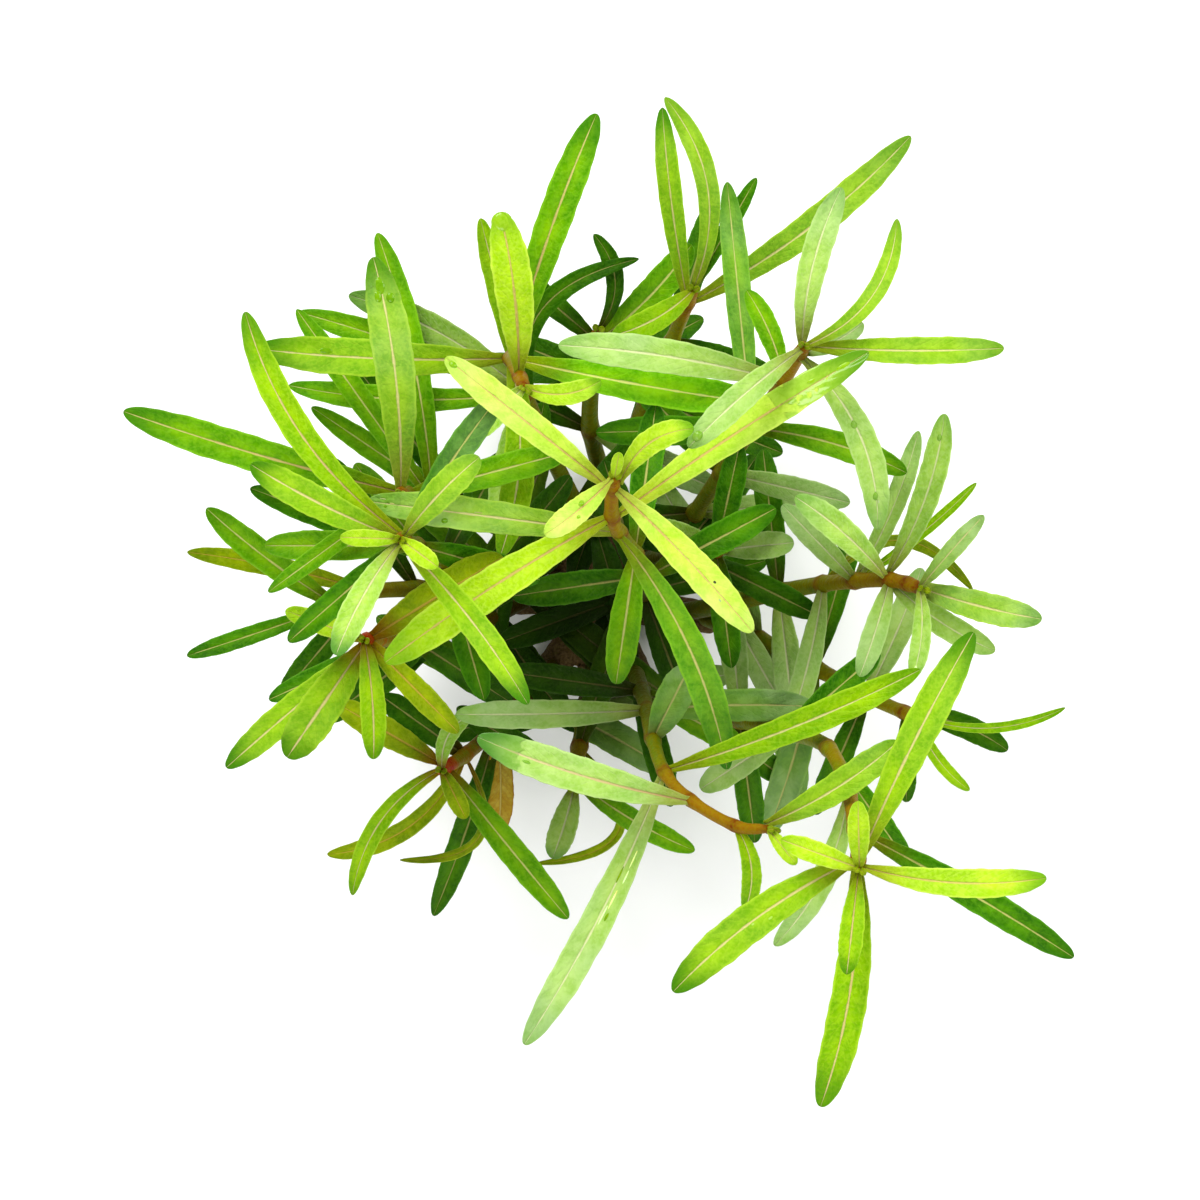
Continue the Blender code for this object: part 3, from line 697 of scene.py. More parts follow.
@dataclass(frozen=True)
class Spot:
    """A drop of water or a scar on a leaf's upper side: place as shares, sizes in millimetres."""

    along: float
    across: float
    length: float
    width: float
    rise: float
    finish: str = ""
    shade: float = 0.0
    sunk: float = 0.15
    wet: float = 4.0
    scar_bloom: float = 0.9

    def build(self, place: np.ndarray, axes: tuple[np.ndarray, np.ndarray, np.ndarray], tone: str) -> Patch:
        """A low dome: its outline is an ellipse that shrinks as a cosine while its height rises as a sine.

        Args:
            place: the middle of its foot, in millimetres.
            axes: the directions along the leaf, across it and away from it.
            tone: the finish of the leaf, which a drop takes on.

        Returns:
            The closed surface, sunk a little into the leaf.
        """
        turn = np.linspace(0, np.pi / 2, 7)[:-1]
        angle = np.linspace(0, 2 * np.pi, 20, endpoint=False)
        flat = (np.cos(angle)[:, None] * axes[0] * self.length
                + np.sin(angle)[:, None] * axes[1] * self.width) / 2
        height = (np.sin(turn) * (self.rise + self.sunk) - self.sunk)[:, None, None] * axes[2]
        rings = place + np.cos(turn)[:, None, None] * flat[None] + height
        points, faces = closed_surface(rings, place - self.sunk * axes[2], place + self.rise * axes[2])
        ones = np.ones(len(points))
        marks = {
            "seed": ones * self.along,
            "shade": ones * self.shade,
            "wet": ones * (0.0 if self.finish else self.wet),
            "bloom_and_sheen": ones * (self.scar_bloom if self.finish == TAN.value else 0.0),
        }
        flat_map = np.stack([ones * self.along, ones * 0.72], 1)
        return Patch(points, faces, flat_map, marks, self.finish or tone)


@dataclass(frozen=True)
class Leaf:
    """One leaf of a shoot, in millimetres and degrees: arch lifts its middle, bow moves it to the left."""

    node: int
    tip: Point
    width: float
    arch: float
    bow: float
    tone: Tone
    look: Look = PLAIN
    spots: tuple[Spot, ...] = ()
    roll: float = 0.0


def shaded(node: int, tip: Point, width: float, arch: float, bow: float = 0.0) -> Leaf:
    """A plain dark leaf with a little painted shade, for the leaves above it."""
    return Leaf(node, tip, width, arch, bow, DARK, SHADED)


def buried(node: int, tip: Point, width: float, arch: float, bow: float = 0.0) -> Leaf:
    """A plain dark leaf deep in the clump, with painted shade."""
    return Leaf(node, tip, width, arch, bow, DARK, BURIED)


@dataclass(frozen=True)
class Blade:
    """The form that every leaf shares, with its sizes in millimetres or as shares of the half-width."""

    foot_share: float = 0.26
    widest_at: float = 0.62
    fold: float = 0.16
    half_thickness: float = 0.17
    groove: float = 0.16
    rib: float = 0.22
    quilt: float = 0.035
    margin_wave: float = 0.16
    uneven_edge: float = 0.035
    twist: float = 7.0
    tip_end: float = 0.998
    crowding: float = 1.35
    fold_power: float = 1.25
    swell_power: float = 2.2
    groove_width: float = 0.09
    rib_width: float = 0.11
    shade_spread: float = 0.08
    big_section: tuple[float, ...] = (0.035, 0.08, 0.15, 0.27, 0.42, 0.58, 0.73, 0.85, 0.93, 0.98)
    small_section: tuple[float, ...] = (0.06, 0.16, 0.38, 0.64, 0.86, 0.97)
    big_stations: int = 58
    small_stations: int = 28

    def outline(self, u: np.ndarray, blunt: float) -> np.ndarray:
        """Half-width as a share of its greatest: the foot's share, a swell of swell_power and a round tip.

        Args:
            u: the share of the way from foot to tip.
            blunt: the power that shapes the tip, from 2 for narrow to 3 for blunt.

        Returns:
            The share of the greatest half-width at each u.
        """
        swell = 1 - (1 - np.minimum(u / self.widest_at, 1)) ** self.swell_power
        past = np.clip((u - self.widest_at) / (1 - self.widest_at), 0, 1)
        return (self.foot_share + (1 - self.foot_share) * swell) * np.sqrt(1 - past**blunt)

    def section(self, small: bool) -> tuple[np.ndarray, np.ndarray]:
        """The places around a cross-section: from the left edge over the top and back underneath.

        Args:
            small: whether the leaf has the coarser section.

        Returns:
            The share across, from 1 at the left edge to -1, and 1 on top, -1 underneath, 0 at the edges.
        """
        half = np.array(self.small_section if small else self.big_section)
        top = np.concatenate([half[::-1], [0.0], -half])
        across = np.concatenate([[1.0], top, [-1.0], top[::-1]])
        side = np.concatenate([[0.0], np.ones(len(top)), [0.0], -np.ones(len(top))])
        return across, side

    def heights(
        self, u: np.ndarray, across: np.ndarray, face: np.ndarray, half: np.ndarray, wild: np.ndarray,
        size: float
    ) -> np.ndarray:
        """How high each point lies over the centreline, square to the blade.

        The blade is folded up along the midrib, with a narrow groove on top and a rib underneath,
        quilted between its side veins and wavy at its margins.

        Args:
            u: the share along, as a column.
            across: the share across, as a row.
            face: 1 on top, -1 underneath and 0 at the edges.
            half: the half-width at each point.
            wild: the leaf's own five numbers from 0 to 1.
            size: how deep the groove and the rib are, as a share of those of a broad leaf.

        Returns:
            The heights in millimetres, one ring to a row.
        """
        beside = np.abs(across)
        waves = 3.0 + 2.0 * wild[1]
        phase = WAVE * (waves * u + wild[2] + 0.37 * (across > 0))
        veins = np.cos(WAVE * (VEINS * (u - VEIN_SLANT * beside)))
        lift = self.fold * half * beside**self.fold_power
        lift = lift + self.margin_wave * beside**3 * np.sin(phase) * np.minimum(half / 2, 1)
        lift = lift + self.quilt * veins * beside * (1 - beside) * 4
        thick = self.half_thickness * (1.25 - 0.6 * u) * np.sqrt(1 - beside**5)
        thick = thick * np.minimum(half / 0.45, 1)
        dip = self.groove * np.exp(-((beside / self.groove_width) ** 2)) * (1 - 0.6 * u)
        ridge = self.rib * np.exp(-((beside / self.rib_width) ** 2)) * (1 - 0.75 * u)
        top, bottom = lift + thick - dip * size, lift - thick - ridge * size
        return np.where(face > 0, top, np.where(face < 0, bottom, lift))

    def marks(self, look: Look, u: np.ndarray, points: np.ndarray, own: float) -> dict[str, np.ndarray]:
        """The marks that follow from a leaf's look.

        Args:
            look: the look.
            u: the share along of each point.
            points: the points in millimetres.
            own: a number from 0 to 1 that makes the leaf a little lighter or darker.

        Returns:
            The marks by name.
        """
        # Painted shade: the look's shade over the whole leaf, foot_shade towards its foot and painted shade
        # low in the clump's middle, with a little random tone from own.
        near_foot = 1 - smoothstep(u, 0.02, 0.5)
        own_light = 1 - look.shade - self.shade_spread * (own - 0.5)
        return {
            "shade": 1 - own_light * (1 - look.foot_shade * near_foot) * (1 - painted_clump_shade(points)),
            "bloom_and_sheen": look.bloom_and_sheen * (0.45 + 0.55 * smoothstep(u, 0.25, 0.9)),
            "blush": look.blush * (1 - 0.6 * u),
            "dark_tip": np.full(len(u), look.dark_tip),
            "wet": look.wet * smoothstep(u, look.wet_from, look.wet_from + 0.3),
        }

    def build(
        self, foot: np.ndarray, leaf: Leaf, start: float, seed: float, small: bool, ruddy: float
    ) -> list[Patch]:
        """One leaf as a closed surface, followed by its drops and scars.

        The centreline is the curve of the second degree from foot to tip whose middle is lifted by
        arch and moved by bow. The margins are made uneven by two sines.

        Args:
            foot: where the leaf leaves its stem, in millimetres.
            leaf: the leaf's own numbers.
            start: where the surface starts as a share of the centreline, below 0 for inside the stem.
            seed: a number from 0 to 1 that sets the leaf's own small differences.
            small: whether it is one of the small leaves.
            ruddy: how red its foot is, from 0 to 1.

        Returns:
            The closed surfaces.
        """
        tip = np.array(leaf.tip, float)
        left = unit(np.cross(UP, tip - foot))
        control = (foot + tip) / 2 + 2 * (leaf.arch * UP + leaf.bow * left)
        share = np.linspace(0, 1, self.small_stations if small else self.big_stations)
        u = start + (self.tip_end - start) * (1 - (1 - share) ** self.crowding)
        row = u[:, None]
        centre = foot * (1 - row) ** 2 + control * 2 * row * (1 - row) + tip * row**2
        along = unit((control - foot) * (1 - row) + (tip - control) * row)
        side = unit(np.cross(UP, along))
        normal = np.cross(along, side)
        wild = np.modf(seed * np.array([7.31, 13.7, 29.3, 53.9, 97.1]))[0]
        turn = np.radians(leaf.roll + self.twist * (wild[0] - 0.5) * 2 * u * (2 - u))[:, None]
        cosine, sine = np.cos(turn), np.sin(turn)
        side, normal = side * cosine + normal * sine, normal * cosine - side * sine

        inside = np.clip(u, 0, 1)
        across, face = self.section(small)
        column, a = inside[:, None], across[None, :]
        uneven = (np.sin(WAVE * (5.3 * column + wild[1] + 0.29 * (a > 0)))
                  + np.sin(WAVE * (11.7 * column + wild[2])))
        half = leaf.width / 2 * self.outline(inside, 2.0 + 0.6 * wild[4])
        half = half[:, None] * (1 - self.uneven_edge * (1 + uneven / 2) * np.abs(a)**2)
        height = self.heights(column, a, face, half, wild, min(leaf.width / 4, 1))
        rings = centre[:, None] + side[:, None] * (half * a)[..., None] + normal[:, None] * height[..., None]
        points, faces = closed_surface(rings, centre[0], tip)

        u_flat = np.append(np.repeat(inside, len(across)), [0.0, 1.0])
        a_flat = np.append(np.tile(across, len(u)), [0.0, 0.0])
        face_flat = np.append(np.tile(face, len(u)), [0.0, 0.0])
        marks = self.marks(leaf.look, u_flat, points, wild[3])
        marks["seed"] = np.full(len(points), seed)
        marks["ruddy"] = np.full(len(points), ruddy)
        marks["under"] = np.clip(0.3 - face_flat, 0, 1)
        made = [Patch(points, faces, np.stack([u_flat, a_flat / 2 + 0.5], 1), marks, leaf.tone.value)]
        for spot in leaf.spots:
            i = int(np.abs(inside - spot.along).argmin())
            j = int(np.abs(np.where(face > 0, across, 9.0) - spot.across).argmin())
            made.append(spot.build(rings[i, j], (along[i], side[i], normal[i]), leaf.tone.value))
        return made


@dataclass(frozen=True)
class StemForm:
    """The form that every stem shares, in millimetres."""

    foot_radius: float = 1.15
    tip_radius: float = 0.75
    swelling: float = 0.24
    swelling_length: float = 1.1
    ring_length: float = 0.65
    ribs: int = 4
    rib_depth: float = 0.05
    around: int = 16
    steps: int = 10
    bury_height: float = 1.5
    soft_end: int = 4
    end_share: float = 0.6

    def radius(self, share: np.ndarray) -> np.ndarray:
        """The plain radius at that share of the nodes, in a straight line from foot to tip."""
        return self.foot_radius + (self.tip_radius - self.foot_radius) * share

    def build(self, nodes: np.ndarray, seed: float, skin: str) -> Patch:
        """A stem as a closed tube that swells at its nodes and starts down inside the stock.

        The radius is the plain one, times one and the swelling of a bell curve at each node, plus
        rib_depth times a cosine around the stem. The last rings are drawn in to a soft end.

        Args:
            nodes: the stem's nodes from foot to bud, in millimetres.
            seed: a number from 0 to 1 for its own mottling.
            skin: the name of its finish.

        Returns:
            The closed surface.
        """
        below = np.array([nodes[0][0], nodes[0][1], self.bury_height])
        path = through(np.vstack([below, nodes]), self.steps)
        count = len(path)
        share = np.clip((np.arange(count) - self.steps) / (count - 1 - self.steps), 0, 1)
        forward = unit(np.gradient(path, axis=0))
        apart = np.linalg.norm(path[:, None] - nodes[None, 1:], axis=-1)
        swell = np.exp(-((apart / self.swelling_length) ** 2)).max(1)
        ring = np.exp(-((apart / self.ring_length) ** 2)).max(1)
        rib = np.cos(self.ribs * once_around(self.around))
        swollen = 1 + self.swelling * swell[:, None]
        radius = self.radius(share)[:, None] * swollen + self.rib_depth * rib[None]
        ending = smoothstep(np.arange(count), count - 1 - self.soft_end, count - 1)
        radius = radius * np.sqrt(1 - self.end_share * ending)[:, None]
        rings = rings_about(path, forward, radius, np.array([0.0, 1.0, 0.0]))
        end = path[-1] + forward[-1] * self.tip_radius * 0.5
        points, faces = closed_surface(rings, path[0], end)
        share_flat = np.append(np.repeat(share, self.around), [0.0, 1.0])
        marks = {
            "seed": np.full(len(points), seed),
            "age": share_flat,
            "ring": np.append(np.repeat(ring, self.around), [0.0, 0.6]),
            "rib": np.append(np.tile(rib * 0.5 + 0.5, count), [0.0, 0.0]),
            # Painted shade low in the middle of the clump.
            "shade": painted_clump_shade(points),
        }
        return Patch(points, faces, np.zeros((len(points), 2)), marks, skin)


@dataclass
class Shoot:
    """One leafy stem: its nodes from foot to bud, its big leaves and the small ones grown onto it."""

    name: str
    nodes: list[Point]
    leaves: list[Leaf]
    grown: list[Leaf]
    skin: str = "stem"
    blade: Blade = Blade()
    form: StemForm = StemForm()
    gap: float = 0.3
    bud_length: float = 1.9
    bud_width: float = 0.9
    low_reach: float = 19.0
    low_height: float = 46.0
    crown: float = 41.0
    low_width: float = 3.6
    low_arch: float = 1.6
    pale_from: float = 6.0
    pale_below: float = 16.0

    @property
    def ruddy(self) -> float:
        """How red the feet of its leaves are."""
        return 0.85 if self.skin == "red_stem" else 0.3

    def seed(self, index: int) -> float:
        """A number from 0 to 1 that is the same each run, from the shoot's name and a leaf's place."""
        total = sum(ord(letter) * (k + 3) for k, letter in enumerate(self.name)) + 47 * index
        return (total * 0.6180339887) % 1.0

    def foot(self, leaf: Leaf, apart: float) -> np.ndarray:
        """Where a leaf starts: out from its node's axis towards the tip, square to the stem.

        Args:
            leaf: the leaf.
            apart: how far out it starts, in millimetres.

        Returns:
            The point.
        """
        nodes = np.array(self.nodes, float)
        node = nodes[leaf.node]
        along = unit(nodes[min(leaf.node + 1, len(nodes) - 1)] - nodes[max(leaf.node - 1, 0)])
        out = np.array(leaf.tip, float) - node
        return node + unit(out - along * (out @ along)) * apart

    def big_leaf(self, index: int, leaf: Leaf) -> list[Patch]:
        """A big leaf, whose foot reaches back over the solid's gap into the stem."""
        apart = float(self.form.radius(np.array(leaf.node / (len(self.nodes) - 1)))) + self.gap
        foot = self.foot(leaf, apart)
        reach = float(np.linalg.norm(np.array(leaf.tip) - foot))
        return self.blade.build(foot, leaf, -(apart - 0.25) / reach, self.seed(index), False, self.ruddy)

    def small_leaf(self, index: int, leaf: Leaf) -> list[Patch]:
        """A small leaf, which starts on the stem's axis."""
        return self.blade.build(self.foot(leaf, 0.0), leaf, 0.0, self.seed(index + 40), True, self.ruddy)

    def low_leaves(self) -> list[Leaf]:
        """The old leaves that complete the pair at each lower node, where the table holds one or none.

        A lone leaf gets its opposite. A bare node gets two, a quarter turn from the node below. They
        are about as long as low_reach and reach no further from the clump's middle than crown.

        Returns:
            The leaves.
        """
        nodes = np.array(self.nodes, float)
        held = self.leaves + self.grown
        made = []
        for k in range(1, len(nodes) - 2):
            x, y, z = nodes[k]
            if z > self.low_height:
                break
            here = [np.arctan2(leaf.tip[1] - y, leaf.tip[0] - x) for leaf in held if leaf.node == k]
            first = here[0] if here else 2 * np.pi * self.seed(60) + np.pi / 2 * k
            wanted = {0: (first, first + np.pi), 1: (first + np.pi,)}.get(len(here), ())
            for n, angle in enumerate(wanted):
                wild = self.seed(70 + 5 * k + n)
                reach = self.low_reach * (0.85 + 0.3 * wild)
                tip = nodes[k][:2] + reach * np.array([np.cos(angle), np.sin(angle)])
                tip = tip * min(1.0, self.crown / max(float(np.linalg.norm(tip)), 1e-6))
                end = (float(tip[0]), float(tip[1]), float(max(z + 3 * wild - 2, 3.0)))
                pale = end[0] > self.pale_from and end[1] < self.pale_below
                tone = (PALE if wild < 0.55 else GREEN) if pale else (DARK if wild < 0.6 else GREEN)
                # Pale low leaves take DIM and the others BURIED, both painted shade for the leaves above
                # them.
                made.append(Leaf(k, end, self.low_width + 0.8 * wild, self.low_arch, 1.2 * (wild - 0.5), tone,
                                 DIM if pale else BURIED))
        return made

    def bud(self) -> list[Patch]:
        """The two youngest leaves, folded up round the stem's end."""
        nodes = np.array(self.nodes, float)
        forward = unit(nodes[-1] - nodes[-2])
        across = unit(np.cross(forward, np.array([0.3, 1.0, 0.0])))
        made = []
        for k, turn in enumerate((1.0, -1.0)):
            tip = nodes[-1] + forward * self.bud_length * 0.8 + across * turn * 0.7
            scale = Leaf(0, tuple(tip), self.bud_width, 0.1, 0.0, OLIVE, Look(0.1, 0.5, 0.0, 1.0, 0.3))
            made.extend(self.blade.build(nodes[-1] - forward * 0.3, scale, 0.0, self.seed(90 + k), True, 0.6))
        return made

    def build(self, finishes: Finishes) -> None:
        """Builds the stem with its small leaves as one piece and each big leaf as its own.

        Args:
            finishes: where the materials come from.
        """
        patches = [self.form.build(np.array(self.nodes, float), self.seed(0), self.skin), *self.bud()]
        low = self.low_leaves()
        for k, leaf in enumerate(self.grown + low):
            patches += self.small_leaf(k, leaf)
        stem = to_object("shoot_" + self.name, patches, finishes)
        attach(stem, "root")
        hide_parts("stem_" + self.name)
        for k, leaf in enumerate(self.leaves, start=1):
            blade = to_object(f"blade_{self.name}_{k}", self.big_leaf(k, leaf), finishes)
            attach(blade, "root")
            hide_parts(f"leaf_{self.name}_{k}")
        log.info("shoot %s: %d big leaves, %d small, %d low",
                 self.name, len(self.leaves), len(self.grown), len(low))


@dataclass
class Stock:
    """The creeping stock: arms along the ground from one hub, cut off flat at the ground, in millimetres."""

    arms: tuple[tuple[tuple[float, float], ...], ...] = (
        ((-5.0, 0.6), (-10.0, 0.2), (-14.5, 0.9)),
        ((-3.0, 3.2), (-6.5, 6.0), (-9.5, 8.6)),
        ((0.3, 5.5), (-0.2, 11.0), (0.6, 16.5)),
        ((3.6, 3.0), (7.0, 5.6), (10.4, 8.4)),
        ((5.0, -1.0), (10.0, -1.5), (15.0, -2.7)),
        ((2.0, -4.2), (4.2, -8.6), (6.4, -13.2)),
        ((-0.3, -4.0), (-0.6, -8.0), (-1.0, -11.4)),
        ((-2.6, -3.6), (-5.4, -7.6), (-8.4, -11.4)),
    )
    axis_height: float = 1.5
    radius: float = 2.35
    tip_radius: float = 1.95
    hub_radius: float = 3.3
    hub_height: float = 3.5
    around: int = 28
    steps: int = 12
    voxel: float = 0.28
    ground_slack: float = 0.25
    ring_height: float = 0.045
    knob_height: float = 0.04

    def arm(self, points: tuple[tuple[float, float], ...], seed: float) -> Patch:
        """One arm: a tube with low rings and knobs, its points under the ground brought up to it.

        The radius is nearly the plain one, plus ring_height of it times a narrow wave along the arm
        for the rings, and knob_height of it times sines around and along it for the knobs.

        Args:
            points: the arm's places on the ground, outwards from the hub.
            seed: a number that shifts its rings and knobs.

        Returns:
            The closed surface.
        """
        corners = np.array([(0.0, 0.0, self.axis_height)] + [(x, y, self.axis_height) for x, y in points])
        path = through(corners, self.steps)
        count = len(path)
        share = np.linspace(0, 1, count)
        forward = unit(np.gradient(path, axis=0))
        angle = once_around(self.around)
        plain = self.radius + (self.tip_radius - self.radius) * share
        rings_wave = np.sin(share * 26 + seed * 9)[:, None] ** 8
        knobs = np.sin(angle * 3 + seed * 5)[None] * np.sin(share * 11 + seed * 3)[:, None]
        radius = plain[:, None] * (1 - 0.03 + self.ring_height * rings_wave + self.knob_height * knobs)
        radius = radius * np.sqrt(1 - np.clip((share - 0.94) / 0.07, 0, 1) ** 2)[:, None]
        rings = rings_about(path, forward, radius, UP)
        surface, faces = closed_surface(rings, path[0], path[-1])
        surface[:, 2] = np.maximum(surface[:, 2], 0)
        marks = {"age": np.append(np.repeat(share, self.around), [0.0, 1.0]),
                 "ring": np.append((rings_wave * np.ones((1, self.around))).ravel(), [0.0, 0.0])}
        return Patch(surface, faces, np.zeros((len(surface), 2)), marks, "stock")

    def hub(self) -> Patch:
        """The middle: a low dome whose radius is the hub's, with five soft lobes around."""
        height = np.linspace(0, 1, 12)
        angle = once_around(self.around)
        outline = np.sqrt(1 - height**2 * 0.96)
        radius = self.hub_radius * outline[:, None] * (1 + 0.05 * np.sin(5 * angle))[None]
        rings = np.stack([radius * np.cos(angle), radius * np.sin(angle),
                          np.broadcast_to((height * self.hub_height)[:, None], radius.shape)], -1)
        points, faces = closed_surface(rings, np.zeros(3), np.array([0, 0, self.hub_height]))
        return Patch(points, faces, np.zeros((len(points), 2)), {}, "stock")

    def build(self, finishes: Finishes) -> None:
        """Fuses the hub and the arms to one skin and lays it flat on the ground.

        Args:
            finishes: where the material comes from.
        """
        patches = [self.hub()] + [self.arm(points, 0.37 * k) for k, points in enumerate(self.arms)]
        stock = to_object("creeping_stock", patches, finishes)
        fuse = stock.modifiers.new("fuse", "REMESH")
        fuse.mode = "VOXEL"
        fuse.voxel_size = self.voxel * MM
        fuse.use_smooth_shade = True
        soften = stock.modifiers.new("soften", "SMOOTH")
        soften.factor = 0.5
        soften.iterations = 2
        evaluated = stock.evaluated_get(bpy.context.evaluated_depsgraph_get())
        skin = bpy.data.meshes.new_from_object(evaluated)
        stock.modifiers.clear()
        places = np.zeros(len(skin.vertices) * 3, np.float32)
        skin.vertices.foreach_get("co", places)
        places = places.reshape(-1, 3)
        places[:, 2] = np.where(places[:, 2] < self.ground_slack * MM, 0, places[:, 2])
        skin.vertices.foreach_set("co", places.ravel())
        skin.update()
        stock.data = skin
        if not skin.materials:
            skin.materials.append(finishes.material("stock"))
        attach(stock, "root")
        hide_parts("stock")
        log.info("creeping stock: %d faces", len(skin.polygons))


@dataclass
class Studio:
    """A pale floor, soft white light and a camera far above the middle of the picture."""

    floor_half: float = 1.2
    floor_drop: float = 0.00004
    roundness: float = 0.3
    camera_height: float = 6.0
    focus_height: float = 0.060
    field: float = 0.150
    sensor: float = 36.0
    surroundings: float = 0.34

    def floor(self) -> None:
        """A large plain white sheet at ground level, with rounded corners."""
        angle = np.linspace(0, 2 * np.pi, 96, endpoint=False)
        x, y = np.sign(np.cos(angle)), np.sign(np.sin(angle))
        x, y = x * np.abs(np.cos(angle)) ** self.roundness, y * np.abs(np.sin(angle)) ** self.roundness
        rim = np.stack([x, y, np.full(len(angle), -self.floor_drop / self.floor_half)], 1) * self.floor_half
        mesh = bpy.data.meshes.new("floor")
        mesh.from_pydata(rim.tolist(), [], [tuple(range(len(angle)))])
        sheet = bpy.data.materials.new("floor_paper")
        sheet.use_nodes = True
        shader = sheet.node_tree.nodes["Principled BSDF"]
        shader.inputs["Base Color"].default_value = (0.92, 0.92, 0.92, 1)
        shader.inputs["Roughness"].default_value = 0.9
        shader.inputs["Specular IOR Level"].default_value = 0.1
        mesh.materials.append(sheet)
        made = bpy.data.objects.new("floor", mesh)
        bpy.context.scene.collection.objects.link(made)

    def lamp(self, name: str, place: Point, size: float, power: float) -> None:
        """A square area light at a place in metres, turned towards the clump.

        Args:
            name: the light's name.
            place: where it hangs.
            size: the length of its side.
            power: its power in watts.
        """
        light = bpy.data.lights.new(name, "AREA")
        light.size = size
        light.energy = power
        made = bpy.data.objects.new(name, light)
        made.location = place
        made.rotation_euler = (Vector((0, 0, 0.05)) - Vector(place)).to_track_quat("-Z", "Y").to_euler()
        bpy.context.scene.collection.objects.link(made)

    def build(self) -> None:
        """Sets up the floor, the lights, the white surroundings and the camera."""
        self.floor()
        world = bpy.data.worlds.new("white_room")
        world.use_nodes = True
        background = world.node_tree.nodes["Background"]
        background.inputs[0].default_value = (1, 1, 1, 1)
        background.inputs[1].default_value = self.surroundings
        bpy.context.scene.world = world
        self.lamp("key", (-0.5, 0.9, 1.1), 0.8, 28)
        self.lamp("fill_right", (1.2, 0.2, 0.9), 0.9, 16)
        self.lamp("fill_front", (-0.2, -1.3, 0.9), 0.9, 15)
        lens = bpy.data.cameras.new("from_above")
        lens.sensor_width = self.sensor
        lens.lens = self.sensor * (self.camera_height - self.focus_height) / self.field
        lens.clip_start = 0.1
        lens.clip_end = 100
        camera = bpy.data.objects.new("from_above", lens)
        camera.location = (0, 0, self.camera_height)
        bpy.context.scene.collection.objects.link(camera)
        bpy.context.scene.camera = camera
        bpy.context.scene.view_settings.view_transform = "Standard"


